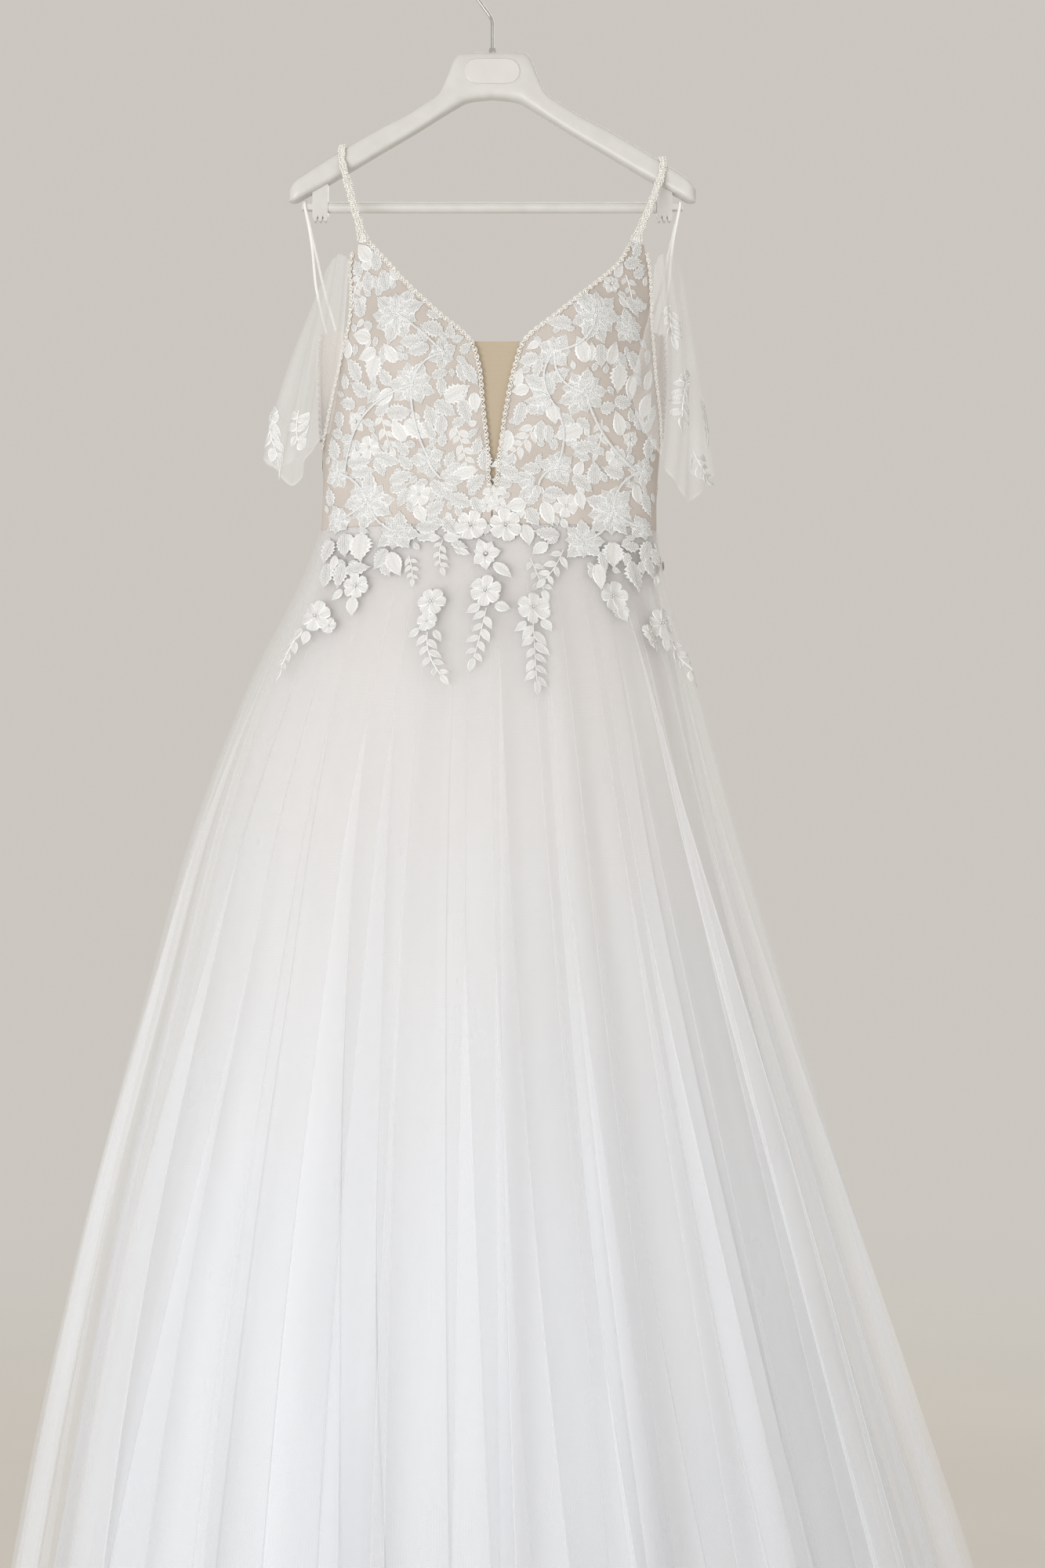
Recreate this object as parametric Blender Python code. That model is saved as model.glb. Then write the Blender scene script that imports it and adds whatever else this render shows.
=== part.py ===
"""A wedding dress on its hanger.

The dress has a plunging lace bodice on thin beaded straps, loose tulle sleeves and an A-line
skirt of three layers.  It hangs from a plastic hanger with a metal hook and a trouser bar.

Metres, +Z up.  The origin is the inside top of the hook, where the hanger is held.  The front of
the dress faces -Y.  Left and right are as seen from the front: left is -X, right is +X.
"""
import math

import bmesh
import bpy
import numpy as np
from mathutils import Vector

# ------------------------------------------------------------------ driving dimensions

SEAM_GAP = 0.0003            # between two pieces that are sewn or stand on each other
WAIST = -0.6240              # height of the waist seam below the hook

# The hanger
HOOK_WIRE_RADIUS = 0.0020
HOOK_BOW_RADIUS = 0.0240     # to the middle of the wire
SHANK_BEND = -0.0630         # where the straight shank starts to lean to the bow
BOW_START = math.radians(215.7)
BOW_END = math.radians(-28.0)
COLLAR_TOP = -0.0950
COLLAR_RADIUS = 0.0042
BAR_RADIUS = 0.0060
BAR_HEIGHT = -0.2694
BRACKET_IN = 0.1800          # the bar's end bracket, from its inner side
BRACKET_OUT = 0.1970         # to its outer side
BRACKET_HALF_DEPTH = 0.0050
BRACKET_FOOT = -0.2790
PEG_OUT = 0.2085             # the peg that the ribbons hang on
PEG_TOP = -0.2665
PEG_HALF_HEIGHT = 0.0030
BADGE_CENTRE = (0.0, -0.1235)
BADGE_SIZE = (0.0610, 0.0270)
BADGE_THICKNESS = 0.0010

# Cloth
BODICE_WALL = 0.0020
TULLE_WALL = 0.0010
SLEEVE_WALL = 0.0010
STRAP_WIDTH = 0.0075
STRAP_THICKNESS = 0.0022
STRAP_AT = {"left": -0.1640, "right": 0.1860}     # where each strap crosses the hanger's arm
RIBBON_WIDTH = 0.0030
RIBBON_THICKNESS = 0.0010
RIBBON_SEAT = 0.0010                              # its ends stand this far above a sloping edge
TRIM_RADIUS = (0.0024, 0.0031)                    # the beaded edge swells from bead to bead
MODESTY_TOP = -0.4325
MODESTY_HEM = -0.5950
MODESTY_OVERLAP = 0.0080                          # behind each edge of the neckline
BUTTON_COUNT = 9
BUTTON_RADIUS = 0.0045
BUTTON_DEPTH = 0.0042
FRONT_HEM = -1.8000
BACK_HEM = -2.0000
LACE_EDGE = 0.0120                                # the relief fades out this near an edge
SLEEVE_CLEARANCE = (0.0050, 0.0106)               # in front of the bodice, and of its beads


# ------------------------------------------------------------------ tables


class Table:
    """Rows with named columns, read between the rows along a smooth curve."""

    def __init__(self, columns, *rows):
        ordered = sorted(rows)
        self.names = columns
        self.values = {name: np.array([row[i] for row in ordered]) for i, name in enumerate(columns)}
        self.key = self.values[columns[0]]

    def at(self, name, key):
        """The value of a column where the first column has the given key."""
        xs, ys = self.key, self.values[name]
        key = min(max(key, xs[0]), xs[-1])
        i = int(min(max(np.searchsorted(xs, key) - 1, 0), len(xs) - 2))
        slopes = np.diff(ys) / np.diff(xs)
        start = slopes[i] if i == 0 else 0.5 * (slopes[i - 1] + slopes[i])
        end = slopes[i] if i == len(slopes) - 1 else 0.5 * (slopes[i] + slopes[i + 1])
        width = xs[i + 1] - xs[i]
        t = (key - xs[i]) / width
        return float((2 * t**3 - 3 * t**2 + 1) * ys[i] + (t**3 - 2 * t**2 + t) * width * start
                     + (3 * t**2 - 2 * t**3) * ys[i + 1] + (t**3 - t**2) * width * end)

    def rows(self):
        """Each row as a dictionary of its named values."""
        return [dict(zip(self.names, row)) for row in zip(*(self.values[n] for n in self.names))]


# Half the hanger, from its middle to the end of an arm
HANGER = Table(("x", "top", "bottom", "half_depth"),
               (0.0000, -0.1008, -0.1499, 0.0125),
               (0.0300, -0.1008, -0.1545, 0.0125),
               (0.0380, -0.1022, -0.1590, 0.0125),
               (0.0430, -0.1090, -0.1620, 0.0120),
               (0.0480, -0.1220, -0.1650, 0.0115),
               (0.0570, -0.1425, -0.1705, 0.0110),
               (0.0720, -0.1545, -0.1800, 0.0105),
               (0.0900, -0.1662, -0.1910, 0.0100),
               (0.1250, -0.1845, -0.2115, 0.0100),
               (0.1570, -0.2030, -0.2307, 0.0105),
               (0.1850, -0.2205, -0.2470, 0.0120),
               (0.2050, -0.2335, -0.2580, 0.0125),
               (0.2170, -0.2425, -0.2640, 0.0115),
               (0.2225, -0.2500, -0.2635, 0.0070))

# The bodice's sections: how far each reaches to the left, right, front and back
BODICE = Table(("height", "left", "right", "front", "back"),
               (-0.6240, 0.1880, 0.1800, 0.0660, 0.0280),
               (-0.5900, 0.1860, 0.1800, 0.0680, 0.0280),
               (-0.5575, 0.1860, 0.1820, 0.0710, 0.0280),
               (-0.5000, 0.1890, 0.1870, 0.0760, 0.0285),
               (-0.4550, 0.1910, 0.1900, 0.0800, 0.0290),
               (-0.4200, 0.1910, 0.1900, 0.0820, 0.0290),
               (-0.3700, 0.1880, 0.1900, 0.0810, 0.0270),
               (-0.3200, 0.1810, 0.1900, 0.0780, 0.0250))

# The bust cups stand proud of those sections
CUPS = Table(("x", "height", "depth", "half_width", "half_height"),
             (-0.0920, -0.4380, 0.0210, 0.0520, 0.0640),
             (0.1010, -0.4380, 0.0210, 0.0520, 0.0640))

# The edges of the two front panels: neck and armhole on the left, then on the right
FRONT_EDGES = Table(("height", "neck_left", "armhole_left", "neck_right", "armhole_right"),
                    (-0.6240, 0.0000, -0.1880, 0.0004, 0.1800),
                    (-0.5865, 0.0000, -0.1860, 0.0020, 0.1800),
                    (-0.5450, -0.0040, -0.1850, 0.0092, 0.1830),
                    (-0.5000, -0.0090, -0.1755, 0.0160, 0.1815),
                    (-0.4550, -0.0140, -0.1640, 0.0262, 0.1755),
                    (-0.4300, -0.0240, -0.1575, 0.0370, 0.1735),
                    (-0.4050, -0.0550, -0.1515, 0.0690, 0.1715),
                    (-0.3750, -0.0860, -0.1500, 0.1040, 0.1710),
                    (-0.3450, -0.1110, -0.1515, 0.1350, 0.1690),
                    (-0.3200, -0.1320, -0.1465, 0.1490, 0.1640))

# The top edge of a back panel, by the angle from the middle of the front
BACK_TOP = Table(("angle", "height"),
                 (90.0, -0.5450), (93.0, -0.4900), (97.0, -0.4250), (106.0, -0.4080),
                 (122.0, -0.4020), (138.0, -0.4000), (145.0, -0.4000), (158.0, -0.4420),
                 (180.0, -0.5000))
BACK_STRAP_ANGLE = 143.0
WING_TRIM_END = 102.0                             # the beads end where the ribbon is sewn on
RIBBON_ANGLES = (106.0, 114.0)

# The skirt's outermost layer: how far each section reaches, as drawn smooth under the folds
SKIRT = Table(("height", "left", "right", "front", "back"),
              (-0.6240, 0.1880, 0.1800, 0.0660, 0.0280),
              (-0.6780, 0.2080, 0.1880, 0.0760, 0.0310),
              (-0.7850, 0.2600, 0.2200, 0.1060, 0.0360),
              (-0.9470, 0.3200, 0.2620, 0.1450, 0.0420),
              (-1.1200, 0.3660, 0.3120, 0.1820, 0.0500),
              (-1.3560, 0.4260, 0.3830, 0.2220, 0.0600),
              (-1.5560, 0.4670, 0.4430, 0.2480, 0.0720),
              (-1.7600, 0.5020, 0.5050, 0.2680, 0.0900),
              (-2.0000, 0.5450, 0.5600, 0.2880, 0.1250))

# The layers under it, as shares of its reach
UNDERSKIRTS = Table(("height", "middle", "lining"),
                    (-0.6240, 1.000, 1.000),
                    (-0.7000, 0.960, 0.920),
                    (-0.9000, 0.905, 0.835),
                    (-1.2000, 0.885, 0.805),
                    (-1.6000, 0.895, 0.840),
                    (-2.0000, 0.925, 0.875))
FOLD_SHARE = {"outer": 1.0, "middle": 0.75, "lining": 0.40}      # how deep their folds are
SKIRT_STEPS = 9              # from the waist to the hem, and the steps at which each layer has a row
LAYER_ROWS = {"outer": range(10), "middle": (0, 1, 2, 3, 5, 7, 8, 9),
              "lining": (0, 1, 2, 4, 6, 8, 9)}

# The skirt's folds: the angle from the middle of the front, and depth at the hem
FOLDS = Table(("angle", "depth"),
              (-83.0, 0.012), (-71.0, 0.034), (-56.0, 0.042), (-43.0, 0.016), (-33.0, 0.034),
              (-24.0, 0.018), (-15.5, 0.038), (-7.0, 0.014), (2.0, 0.030), (12.0, 0.018),
              (20.0, 0.038), (30.0, 0.018), (38.5, 0.030), (51.0, 0.052), (63.5, 0.018),
              (72.0, 0.036), (84.0, 0.012),
              (98.0, 0.012), (112.0, 0.024), (129.0, 0.014), (144.0, 0.026), (163.0, 0.014),
              (180.0, 0.028), (198.0, 0.016), (215.0, 0.024), (234.0, 0.012), (249.0, 0.022),
              (263.0, 0.012))

# Raised lace on the bodice front: beaded flowers
LACE_FLOWERS = Table(("x", "height", "radius", "petals", "turn", "rise"),
                     (-0.1150, -0.3720, 0.0400, 5, 0.4, 0.0028),
                     (-0.0700, -0.4100, 0.0330, 6, 1.2, 0.0028),
                     (-0.1180, -0.4240, 0.0300, 5, 2.0, 0.0024),
                     (-0.0900, -0.4720, 0.0330, 6, 0.1, 0.0026),
                     (-0.0430, -0.4640, 0.0240, 5, 0.9, 0.0022),
                     (-0.1480, -0.4980, 0.0240, 4, 0.3, 0.0020),
                     (-0.0600, -0.5320, 0.0280, 6, 1.4, 0.0022),
                     (-0.1230, -0.5640, 0.0360, 6, 0.7, 0.0026),
                     (-0.1640, -0.5820, 0.0300, 5, 1.9, 0.0024),
                     (-0.0350, -0.5900, 0.0240, 5, 0.2, 0.0022),
                     (0.1230, -0.3700, 0.0400, 5, 0.8, 0.0028),
                     (0.0780, -0.4120, 0.0330, 6, 0.3, 0.0028),
                     (0.1350, -0.4300, 0.0330, 5, 1.6, 0.0026),
                     (0.1030, -0.4720, 0.0330, 6, 1.0, 0.0026),
                     (0.0580, -0.4700, 0.0240, 5, 0.5, 0.0022),
                     (0.1560, -0.4980, 0.0240, 4, 1.3, 0.0020),
                     (0.0720, -0.5320, 0.0280, 6, 0.4, 0.0022),
                     (0.1280, -0.5680, 0.0380, 6, 1.7, 0.0028),
                     (0.1600, -0.5980, 0.0280, 5, 0.9, 0.0024),
                     (0.0400, -0.5900, 0.0240, 5, 1.2, 0.0022))

# Lace sprays on the outer skirt: top middle, length, half width and how far the tip leans
SPRAYS = Table(("x", "top", "length", "half_width", "lean"),
               (-0.1900, -0.7080, 0.0820, 0.0175, -0.0200),
               (-0.1440, -0.6780, 0.0560, 0.0160, -0.0060),
               (-0.0660, -0.6990, 0.1040, 0.0150, -0.0040),
               (-0.0030, -0.6480, 0.1320, 0.0190, -0.0060),
               (0.0480, -0.7040, 0.1020, 0.0150, -0.0030),
               (0.1330, -0.6800, 0.0520, 0.0140, 0.0080),
               (0.1800, -0.7150, 0.0900, 0.0175, 0.0190))
SPRAY_RISE = 0.0013
SPRAY_ROWS = 14

# Each sleeve hangs in folds: where every fold line starts at the shoulder and ends at the hem
SLEEVE_COLUMNS = ("fold", "top_x", "top_y", "top_z", "hem_x", "hem_y", "hem_z", "out")
SLEEVES = {
    "left": Table(SLEEVE_COLUMNS,
                  (0, -0.1530, -0.0460, -0.3400, -0.1730, -0.0560, -0.5260, -0.004),
                  (1, -0.1580, -0.0470, -0.3340, -0.1860, -0.0540, -0.5340, 0.004),
                  (2, -0.1650, -0.0460, -0.3320, -0.2000, -0.0480, -0.5560, 0.000),
                  (3, -0.1730, -0.0410, -0.3380, -0.2140, -0.0400, -0.5800, 0.006),
                  (4, -0.1820, -0.0310, -0.3520, -0.2320, -0.0260, -0.5640, 0.000),
                  (5, -0.1910, -0.0160, -0.3700, -0.2500, -0.0060, -0.5460, 0.006),
                  (6, -0.1985, 0.0020, -0.3860, -0.2460, 0.0160, -0.5520, 0.000),
                  (7, -0.1995, 0.0180, -0.3980, -0.2330, 0.0300, -0.5480, 0.004),
                  (8, -0.1920, 0.0310, -0.4100, -0.2160, 0.0380, -0.5360, 0.000)),
    "right": Table(SLEEVE_COLUMNS,
                   (0, 0.1755, -0.0395, -0.3460, 0.1453, -0.0680, -0.4820, 0.004),
                   (1, 0.1780, -0.0450, -0.3360, 0.1600, -0.0660, -0.5180, 0.010),
                   (2, 0.1840, -0.0440, -0.3310, 0.1800, -0.0600, -0.5520, 0.006),
                   (3, 0.1920, -0.0360, -0.3300, 0.1960, -0.0500, -0.5760, 0.010),
                   (4, 0.1990, -0.0250, -0.3320, 0.2120, -0.0360, -0.5970, 0.006),
                   (5, 0.2050, -0.0110, -0.3370, 0.2310, -0.0140, -0.5780, 0.006),
                   (6, 0.2070, 0.0040, -0.3450, 0.2450, 0.0080, -0.5600, 0.000),
                   (7, 0.2060, 0.0190, -0.3620, 0.2340, 0.0260, -0.5640, 0.004),
                   (8, 0.1980, 0.0320, -0.3880, 0.2160, 0.0380, -0.5520, 0.000)),
}
SLEEVE_ROWS = 7


# ------------------------------------------------------------------ making solids


def clear_scene():
    for thing in list(bpy.data.objects):
        bpy.data.objects.remove(thing)


def finish_material(name, colour, roughness, metallic=0.0):
    """A plain Principled material of the given linear colour."""
    surface = bpy.data.materials.new(name)
    surface.use_nodes = True
    shader = surface.node_tree.nodes["Principled BSDF"]
    shader.inputs["Base Color"].default_value = (*colour, 1.0)
    shader.inputs["Roughness"].default_value = roughness
    shader.inputs["Metallic"].default_value = metallic
    surface.diffuse_color = (*colour, 1.0)
    return surface


def add_solid(name, points, faces, surface, crease=math.radians(40)):
    """One closed body, with its faces turned outward."""
    mesh = bpy.data.meshes.new(name)
    mesh.from_pydata([tuple(p) for p in points], [], faces)
    work = bmesh.new()
    work.from_mesh(mesh)
    bmesh.ops.recalc_face_normals(work, faces=work.faces)
    if work.calc_volume(signed=True) < 0:
        bmesh.ops.reverse_faces(work, faces=work.faces)
    work.to_mesh(mesh)
    work.free()
    mesh.materials.append(surface)
    mesh.shade_smooth()
    mesh.set_sharp_from_angle(angle=crease)
    solid = bpy.data.objects.new(name, mesh)
    bpy.context.scene.collection.objects.link(solid)
    return solid


def add_wall(name, outer, inner, surface):
    """Cloth: a grid of outer points and a grid of inner points, closed round the rim."""
    rows, columns = len(outer), len(outer[0])
    points = [p for row in outer for p in row] + [p for row in inner for p in row]
    below = rows * columns

    def index(r, c, side):
        return r * columns + c + side * below

    faces = []
    for side in (0, 1):
        for r in range(rows - 1):
            for c in range(columns - 1):
                a, b = index(r, c, side), index(r, c + 1, side)
                d, e = index(r + 1, c, side), index(r + 1, c + 1, side)
                halves = ((a, b, e), (a, e, d))
                faces += [half[::-1] if side else half for half in halves]
    rim = [(0, c) for c in range(columns)] + [(r, columns - 1) for r in range(1, rows)]
    rim += [(rows - 1, c) for c in range(columns - 2, -1, -1)]
    rim += [(r, 0) for r in range(rows - 2, 0, -1)]
    for here, there in zip(rim, rim[1:] + rim[:1]):
        a, b = index(*here, 0), index(*there, 0)
        d, e = index(*here, 1), index(*there, 1)
        faces += [(a, d, e), (a, e, b)]
    return add_solid(name, points, faces, surface)


def add_sweep(name, path, section, surface, across=None):
    """A section carried along a path.

    section(i) gives the points of the section at the path's point i, each as (across, up).
    across(i) is the direction of the section's first axis there, before it is squared to the path.
    """
    points, faces = [], []
    size = len(section(0))
    for i, here in enumerate(path):
        ahead = path[min(i + 1, len(path) - 1)]
        behind = path[max(i - 1, 0)]
        along = (ahead - behind).normalized()
        side = across(i) if across else Vector((0.0, 1.0, 0.0))
        side = (side - along * side.dot(along)).normalized()
        up = along.cross(side)
        points += [here + side * a + up * b for a, b in section(i)]
    for i in range(len(path) - 1):
        for j in range(size):
            a, b = i * size + j, i * size + (j + 1) % size
            faces += [(a, b, b + size), (a, b + size, a + size)]
    last = (len(path) - 1) * size
    faces.append(tuple(range(size - 1, -1, -1)))
    faces.append(tuple(range(last, last + size)))
    return add_solid(name, points, faces, surface)


def circle(radius, sides):
    turn = 2 * math.pi / sides
    return [(radius * math.cos(turn * k), radius * math.sin(turn * k)) for k in range(sides)]


def band(width, thickness):
    w, t = width / 2, thickness / 2
    return [(-w, -t), (w, -t), (w, t), (-w, t)]


def smooth_path(knots, per_span):
    """Points along a smooth curve through the knots."""
    knots = [Vector(k) for k in knots]
    lead = [knots[0] * 2 - knots[1]] + knots + [knots[-1] * 2 - knots[-2]]
    points = []
    for i in range(1, len(lead) - 2):
        p, a, b, q = lead[i - 1:i + 3]
        for k in range(per_span):
            t = k / per_span
            points.append(0.5 * (2 * a + (b - p) * t + (2 * p - 5 * a + 4 * b - q) * t * t
                                 + (3 * a - 3 * b + q - p) * t**3))
    return points + [knots[-1]]


def fade(t):
    """0 below 0, 1 above 1 and an even slope between."""
    t = min(max(t, 0.0), 1.0)
    return t * t * (3 - 2 * t)


# ------------------------------------------------------------------ the hanger


def hanger_half_depth(x):
    return HANGER.at("half_depth", abs(x))


SECTION_SIDES = 12
SECTION_SQUARENESS = 0.5     # 1 is an ellipse, 0 a rectangle


def hanger_section(x):
    """The hanger cut across at x: a rounded rectangle, flat on the front, back, top and bottom."""
    top, bottom = HANGER.at("top", abs(x)), HANGER.at("bottom", abs(x))
    middle, half_height = (top + bottom) / 2, (top - bottom) / 2
    points = []
    for k in range(SECTION_SIDES):
        angle = 2 * math.pi * (k + 0.5) / SECTION_SIDES
        c, s = math.cos(angle), math.sin(angle)
        y = hanger_half_depth(x) * math.copysign(abs(c) ** SECTION_SQUARENESS, c)
        z = half_height * math.copysign(abs(s) ** SECTION_SQUARENESS, s)
        points.append(Vector((x, y, middle + z)))
    return points


FLAT = math.cos(math.pi / SECTION_SIDES) ** SECTION_SQUARENESS     # the flats, as a share of the half size


def arm_top(x):
    top, bottom = HANGER.at("top", abs(x)), HANGER.at("bottom", abs(x))
    return (top + bottom) / 2 + FLAT * (top - bottom) / 2


def arm_bottom(x):
    top, bottom = HANGER.at("top", abs(x)), HANGER.at("bottom", abs(x))
    return (top + bottom) / 2 - FLAT * (top - bottom) / 2


def make_hanger_body(surface):
    half = list(HANGER.key)
    stations = [-x for x in half[:0:-1]] + half
    rings = [hanger_section(x) for x in stations]
    points = [p for ring in rings for p in ring]
    faces = []
    for i in range(len(rings) - 1):
        for k in range(SECTION_SIDES):
            a, b = i * SECTION_SIDES + k, i * SECTION_SIDES + (k + 1) % SECTION_SIDES
            faces.append((a, b, b + SECTION_SIDES, a + SECTION_SIDES))
    last = (len(rings) - 1) * SECTION_SIDES
    faces.append(tuple(range(SECTION_SIDES)))
    faces.append(tuple(range(last, last + SECTION_SIDES)))
    return add_solid("hanger_body", points, faces, surface)


def make_badge(surface):
    """The rounded plate on the hanger's neck, left bare."""
    width, height = BADGE_SIZE
    radius = height / 2
    outline = []
    for end in (1, -1):
        for k in range(7):
            angle = math.radians(-90 + 30 * k)
            outline.append((end * (width / 2 - radius + radius * math.cos(angle)),
                            end * radius * math.sin(angle)))
    back = -(hanger_half_depth(0) * FLAT + SEAM_GAP)
    cx, cz = BADGE_CENTRE
    layers = ((back, 1.0), (back - BADGE_THICKNESS * 0.6, 1.0), (back - BADGE_THICKNESS, 0.97))
    points = [Vector((cx + x * s, y, cz + z * s)) for y, s in layers for x, z in outline]
    count = len(outline)
    faces = [tuple(range(count)), tuple(range(2 * count, 3 * count))]
    for layer in range(2):
        for k in range(count):
            a, b = layer * count + k, layer * count + (k + 1) % count
            faces.append((a, b, b + count, a + count))
    return add_solid("hanger_badge", points, faces, surface)


def make_hook(surface):
    """The shank rises straight, leans to the left and runs over the bow to its tip on the right."""
    centre = -HOOK_BOW_RADIUS + HOOK_WIRE_RADIUS
    lean_end = Vector((HOOK_BOW_RADIUS * math.cos(BOW_START), 0,
                       centre + HOOK_BOW_RADIUS * math.sin(BOW_START)))
    bend = Vector((0, 0, SHANK_BEND))
    foot = Vector((0, 0, COLLAR_TOP + SEAM_GAP))
    path = [foot, bend - Vector((0, 0, 0.006)), bend.lerp(foot, 0.06) + Vector((-0.0006, 0, 0.002)),
            bend.lerp(lean_end, 0.18), bend.lerp(lean_end, 0.6)]
    turns = 18
    for k in range(turns + 1):
        angle = BOW_START + (BOW_END - BOW_START) * k / turns
        path.append(Vector((HOOK_BOW_RADIUS * math.cos(angle), 0,
                            centre + HOOK_BOW_RADIUS * math.sin(angle))))
    tip = path[-1] + (path[-1] - path[-2]).normalized() * HOOK_WIRE_RADIUS * 0.6
    path.append(tip)

    def section(i):
        return circle(HOOK_WIRE_RADIUS * (0.6 if i == len(path) - 1 else 1.0), 8)

    return add_sweep("hanger_hook", path, section, surface)


def make_collar(surface):
    """The ferrule that the hook stands in, on the flat top of the hanger."""
    foot = arm_top(0) + SEAM_GAP
    heights = (foot, foot + 0.0012, COLLAR_TOP)
    radii = (COLLAR_RADIUS, COLLAR_RADIUS, COLLAR_RADIUS * 0.86)
    path = [Vector((0, 0, z)) for z in heights]
    return add_sweep("hook_collar", path, lambda i: circle(radii[i], 14), surface)


def make_bar(surface):
    ends = (-BRACKET_IN + SEAM_GAP, BRACKET_IN - SEAM_GAP)
    path = [Vector((x, 0, BAR_HEIGHT)) for x in (ends[0], 0, ends[1])]
    return add_sweep("trouser_bar", path, lambda i: circle(BAR_RADIUS, 14), surface)


def make_bracket(name, side, surface):
    """It hangs from the arm, takes the bar's end, and has a peg outside and teeth below."""
    profile = [(BRACKET_IN, arm_bottom(BRACKET_IN) - SEAM_GAP),
               (BRACKET_OUT, arm_bottom(BRACKET_OUT) - SEAM_GAP),
               (BRACKET_OUT, PEG_TOP), (PEG_OUT, PEG_TOP),
               (PEG_OUT, PEG_TOP - 2 * PEG_HALF_HEIGHT), (BRACKET_OUT, PEG_TOP - 2 * PEG_HALF_HEIGHT),
               (BRACKET_OUT, BRACKET_FOOT)]
    teeth, tooth_depth = 3, 0.0060
    pitch = (BRACKET_OUT - BRACKET_IN) / teeth
    for k in range(teeth):
        right = BRACKET_OUT - k * pitch
        profile += [(right - 0.3 * pitch, BRACKET_FOOT - tooth_depth),
                    (right - 0.7 * pitch, BRACKET_FOOT - tooth_depth),
                    (right - pitch, BRACKET_FOOT)]
    count = len(profile)
    points = [Vector((side * x, y, z)) for y in (-BRACKET_HALF_DEPTH, BRACKET_HALF_DEPTH)
              for x, z in profile]
    faces = [tuple(range(count)), tuple(range(count, 2 * count))]
    faces += [(k, (k + 1) % count, (k + 1) % count + count, k + count) for k in range(count)]
    return add_solid(name, points, faces, surface)


# ------------------------------------------------------------------ the body of the dress


def ring_point(sections, angle, height, share=1.0, tuck=0.0):
    """A point on a section of the body: angle 0 is the middle of the front, 90 the right side."""
    turn = math.radians(angle)
    s, c = math.sin(turn), math.cos(turn)
    side = sections.at("right" if s >= 0 else "left", height) * share - tuck
    depth = sections.at("front" if c >= 0 else "back", height) * share - tuck
    return Vector((side * s, -depth * c, height))


def outward(surface_point, angle, height):
    """The direction out of the cloth at a point of a surface given by angle and height."""
    step_angle, step_height = 0.4, 0.0015
    round_it = surface_point(angle + step_angle, height) - surface_point(angle - step_angle, height)
    up_it = surface_point(angle, height + step_height) - surface_point(angle, height - step_height)
    return round_it.cross(up_it).normalized()


def bodice_point(angle, height):
    point = ring_point(BODICE, angle, height)
    if math.cos(math.radians(angle)) > 0:
        for cup in CUPS.rows():
            across = (point.x - cup["x"]) / cup["half_width"]
            along = (height - cup["height"]) / cup["half_height"]
            point.y -= cup["depth"] * math.exp(-across**2 - along**2) * fade(
                math.cos(math.radians(angle)) * 3)
    return point


def in_wall(angle, height):
    """The middle of the bodice's wall."""
    return bodice_point(angle, height) - outward(bodice_point, angle, height) * (BODICE_WALL / 2)


def angle_at(x, height):
    """The angle at which the front of the bodice reaches x."""
    side = BODICE.at("right" if x >= 0 else "left", height)
    return math.degrees(math.asin(min(max(x / side, -1.0), 1.0)))


def lace_rise(x, height):
    """How far the raised flowers stand off the cloth."""
    rise = 0.0
    for flower in LACE_FLOWERS.rows():
        dx, dz = x - flower["x"], height - flower["height"]
        edge = flower["radius"] * (0.74 + 0.26 * math.cos(flower["petals"] * math.atan2(dz, dx)
                                                          + flower["turn"]))
        rise = max(rise, flower["rise"] * fade(1.6 * (1 - math.hypot(dx, dz) / edge)))
    return rise


FRONT_ROWS, FRONT_COLUMNS = 20, 12


def front_panel_grid(side):
    """The outer points of a front panel, before the lace, with their angles and heights."""
    top = FRONT_EDGES.key[-1]
    grid = []
    for r in range(FRONT_ROWS + 1):
        height = WAIST + (top - WAIST) * r / FRONT_ROWS
        neck = FRONT_EDGES.at("neck_" + side, height)
        armhole = FRONT_EDGES.at("armhole_" + side, height)
        towards = math.copysign(1.0, armhole)
        neck += towards * SEAM_GAP
        start, end = angle_at(neck, height), angle_at(armhole, height)
        reach = BODICE.at(side, height)
        if abs(armhole) > 0.985 * reach:
            end = towards * (90 - math.degrees(0.5 * SEAM_GAP / BODICE.at("front", height)))
        grid.append([(start + (end - start) * c / FRONT_COLUMNS, height)
                     for c in range(FRONT_COLUMNS + 1)])
    return grid


def make_front_panel(side, surface):
    """Lace over a lined cup: raised flowers outside, plain inside."""
    outer, inner = [], []
    for r, row in enumerate(front_panel_grid(side)):
        outer_row, inner_row = [], []
        edge_near = bodice_point(*row[0])
        edge_far = bodice_point(*row[-1])
        for angle, height in row:
            point = bodice_point(angle, height)
            direction = outward(bodice_point, angle, height)
            from_edge = min((point - edge_near).length, (point - edge_far).length,
                            height - WAIST, FRONT_EDGES.key[-1] - height)
            rise = lace_rise(point.x, height) * fade(from_edge / LACE_EDGE)
            outer_row.append(point + direction * rise)
            inner_row.append(point - direction * BODICE_WALL)
        outer.append(outer_row)
        inner.append(inner_row)
    return add_wall("bodice_front_" + side, outer, inner, surface)


BACK_ANGLES = (90.0, 91.5, 93.0, 95.0, 97.0, 101.0, 106.0, 114.0, 122.0, 132.5, 143.0, 150.5, 158.0,
               169.0, 180.0)
BACK_ROWS = 7


def back_panel_columns(side):
    """The angle of each column of a back panel, from the side seam to the closure."""
    way = 1 if side == "right" else -1
    side_gap = math.degrees(0.5 * SEAM_GAP / BODICE.at("back", WAIST))
    closure_gap = math.degrees(0.5 * SEAM_GAP / BODICE.at(side, WAIST))
    angles = list(BACK_ANGLES)
    angles[0] += side_gap
    angles[-1] -= closure_gap
    return [way * angle for angle in angles]


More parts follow.
